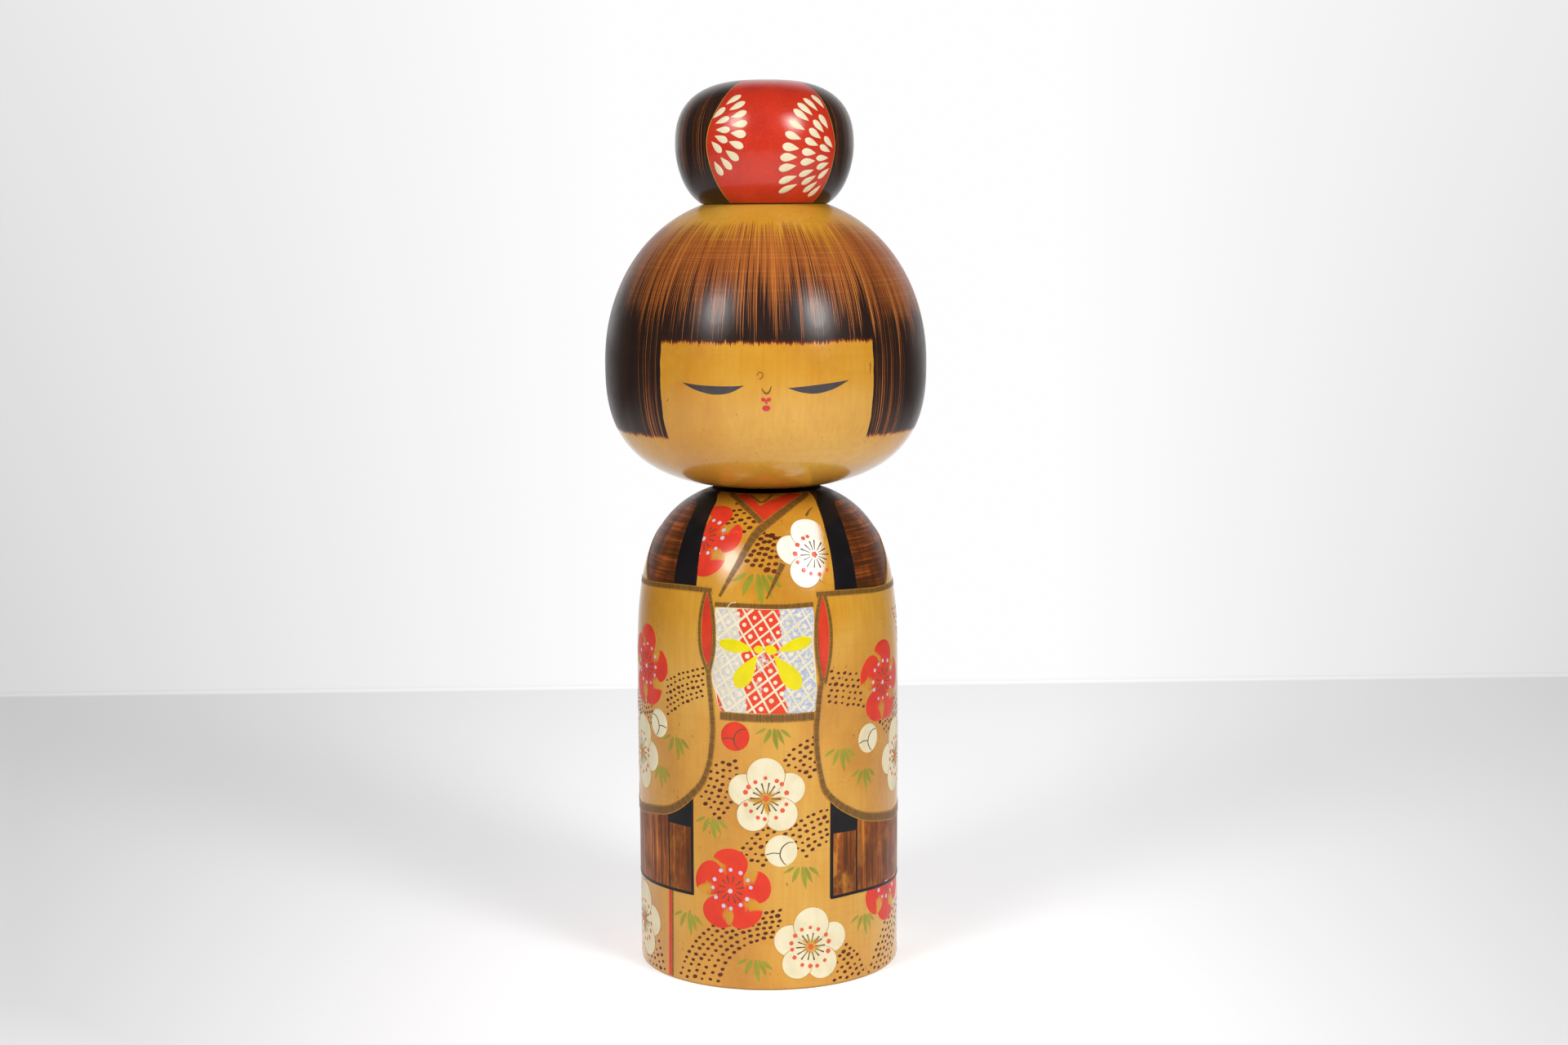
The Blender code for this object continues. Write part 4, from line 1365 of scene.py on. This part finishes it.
def drop(centre, heading, inner, outer, width):
    """A teardrop pointing at a rosette's centre, with its round end outwards."""
    x, y = leaf_shape(outer - inner, width, 0.66, 26)
    across, up = turned(x + inner, y, -heading)
    middle = turned((inner + 0.62 * (outer - inner)) * MM, 0.0, -heading)
    angle, z = BUN.local(centre[0], centre[1] * MM, *middle)
    # Kept only where it lies well inside the cloth
    index = np.arange(len(CLOTH_LEFT))
    share = np.interp(z / MM, [height for edge, height in CLOTH_LEFT], index)
    left = np.interp(share, index, [edge for edge, height in CLOTH_LEFT])
    right = np.interp(share, index, [edge for edge, height in CLOTH_RIGHT])
    if left + CLOTH_MARGIN < angle < right - CLOTH_MARGIN and 264.5 * MM < z < 298.8 * MM:
        drops.fan(centre, across * MM, up * MM, 0.05 * MM, middle=middle, dome=0.06 * MM)


# Each rosette: its centre, the way it faces, and for each ring of drops the inner and outer reach, the
# width of a drop in mm and the degrees between them
for centre, facing, rings in (
    ((-42.6, 285.8), 0, ((5.4, 10.6, 2.3, 22.0), (11.3, 16.6, 2.6, 14.5))),
    ((54.8, 276.6), 180, ((5.0, 10.2, 2.1, 21.5), (11.0, 16.4, 2.4, 13.6), (17.4, 23.2, 2.7, 10.4))),
):
    for order, (inner, outer, width, pitch) in enumerate(rings):
        count = int(95 / pitch)
        for k in range(-count, count + 1):
            heading = facing + (k + 0.5 * (order % 2)) * pitch + chance.uniform(-1.2, 1.2)
            stretch = chance.uniform(-0.25, 0.25)
            drop(centre, heading, inner + stretch, outer + stretch, width * chance.uniform(0.93, 1.05))
drops.piece("topknot_petals", WHITE, "head", "paint_white")

# ---------------------------------------------------------------- floor, light and camera
WHITE_ROOM, NO_LIGHT = (1.0, 0.995, 1.0, 1.0), (0.0, 0.0, 0.0, 1.0)
ROOM_FRONT, ROOM_BACK = 0.05, 0.95
EYE_BACK, EYE_UP = 0.842, 0.262  # where the photograph was taken from, in metres
DOWNWARD, ROLL = 7.41, -0.36  # degrees that its camera looks down, and rolls
WALL_LINE = 0.486
FLOOR_REACH = 30.0


def backdrop(x, z):
    """The wall's brightness in a direction from the camera's place: brightest behind the doll."""
    height = z.span(-0.197, 0.08, 1.0, 0.62, soft=False)
    offset = (abs(x - 0.03) - 0.09).at_least(0.0)
    return (1.0 - offset * 1.35 * height).at_least(0.68)


class WorldGraph(Graph):
    def __init__(self, world):
        self.tree = world.node_tree
        self.x, self.y, self.z = self.split(self.node("TexCoord", output="Generated"))


def studio_world():
    """A bright wall behind the doll and a dim room in front of it; the camera itself sees only wall."""
    world = bpy.data.worlds.new("studio")
    world.use_nodes = True
    g = WorldGraph(world)
    light = g.y.span(0.5, 0.98, ROOM_FRONT, ROOM_BACK)
    seen = g.node("LightPath", output="Is Camera Ray")
    background = g.tree.nodes["Background"]
    g.put(background.inputs["Color"], WHITE_ROOM)
    g.put(background.inputs["Strength"], g.node("Mix", {0: seen, 2: light, 3: backdrop(g.x, g.z)}))
    return world


def floor_material():
    g = Graph("studio_floor")
    # The table's far edge runs slightly away to the right, and beyond it is the wall
    far = g.y - (g.x * 0.034 + WALL_LINE)
    around = g.from_axis()
    beyond = far.span(-0.006, 0.008).at_least(around.span(1.4, 2.6))
    reach = g.from_axis(y_shift=EYE_BACK)
    bright = backdrop(g.x / reach, -EYE_UP / reach)
    near = g.y.span(-0.3, 0.48, 1.0, 0.0, soft=False)
    tone = g.mix(near, (0.72, 0.717, 0.735, 1), (0.74, 0.74, 0.75, 1))
    shade = bright.at_least(near)
    # Beyond the table the room is dark to everything but the camera, except straight behind the doll
    seen = g.node("LightPath", output="Is Camera Ray")
    strength = (near * -0.03 + 0.53) * seen.at_least(around.span(0.35, 0.9, 1.0, 0.1))
    lit = bright * seen.at_least((g.y / around).span(0.5, 0.98, 0.06, 1.0))
    # Painted light: the floor glows, and its colour and glow fall off to the sides as the wall's
    # brightness does
    for name, value in (
        ("Base Color", g.mix(shade, NO_LIGHT, tone)), ("Roughness", 0.7), ("Specular IOR Level", 0.15),
        ("Emission Color", g.mix(shade, NO_LIGHT, WHITE_ROOM)), ("Emission Strength", strength),
    ):
        g.put(g.shader.inputs[name], value)
    # A fine painted highlight, glowing, along the far edge
    edge = abs(far + 0.004).span(0.0, 0.008, 1.0, 0.0)
    glow = g.node("Emission", {"Color": WHITE_ROOM, "Strength": lit})
    sheen = g.node("Emission", {"Color": WHITE_ROOM, "Strength": lit * 1.08})
    table = g.node("MixShader", {0: edge * 0.8, 1: Value(g, g.shader.outputs[0]), 2: sheen})
    output = next(n for n in g.tree.nodes if n.type == "OUTPUT_MATERIAL")
    g.put(output.inputs["Surface"], g.node("MixShader", {0: beyond, 1: table, 2: glow}))
    return g.material


corners = [(x * FLOOR_REACH, y * FLOOR_REACH, 0) for x, y in ((-1, -1), (1, -1), (1, 1), (-1, 1))]
floor_mesh = bpy.data.meshes.new("floor")
floor_mesh.from_pydata(corners, [], [(0, 1, 2, 3)])
floor_mesh.materials.append(floor_material())
linked("floor", floor_mesh)
bpy.context.scene.world = studio_world()

SOFTBOX_SIZE = (0.8, 1.0)
SOFTBOX_TARGET = Vector((0, 0, 0.15))


def softbox(name, place, power):
    """Nested discs, so that the edge of their reflection is soft."""
    for k, share in enumerate((0.45, 0.72, 1.0)):
        light = bpy.data.lights.new(name, "AREA")
        light.shape = "ELLIPSE"
        light.size, light.size_y = (side * share for side in SOFTBOX_SIZE)
        light.energy = power / 3
        made = linked(f"{name}_{k}", light)
        made.location = Vector(place) + Vector((0, 0, 0.002 * k))
        made.rotation_euler = (SOFTBOX_TARGET - Vector(place)).to_track_quat("-Z", "Y").to_euler()


softbox("left_softbox", (-0.78, -0.97, 0.93), 11.4)
softbox("right_softbox", (0.84, -1.02, 0.90), 15.2)

camera = linked("camera", bpy.data.cameras.new("camera"))
camera.data.sensor_width = 36.0
camera.data.lens = 56.5
camera.data.shift_x = 0.011
camera.data.clip_start, camera.data.clip_end = 0.01, 100.0
tilt = Matrix.Rotation(math.radians(90 - DOWNWARD), 4, "X")
roll = Matrix.Rotation(math.radians(ROLL), 4, "Z")
camera.matrix_world = Matrix.Translation((0.0, -EYE_BACK, EYE_UP)) @ tilt @ roll
bpy.context.scene.camera = camera
bpy.context.scene.view_settings.view_transform = "Standard"
bpy.context.scene.view_settings.look = "None"

bpy.context.view_layer.update()
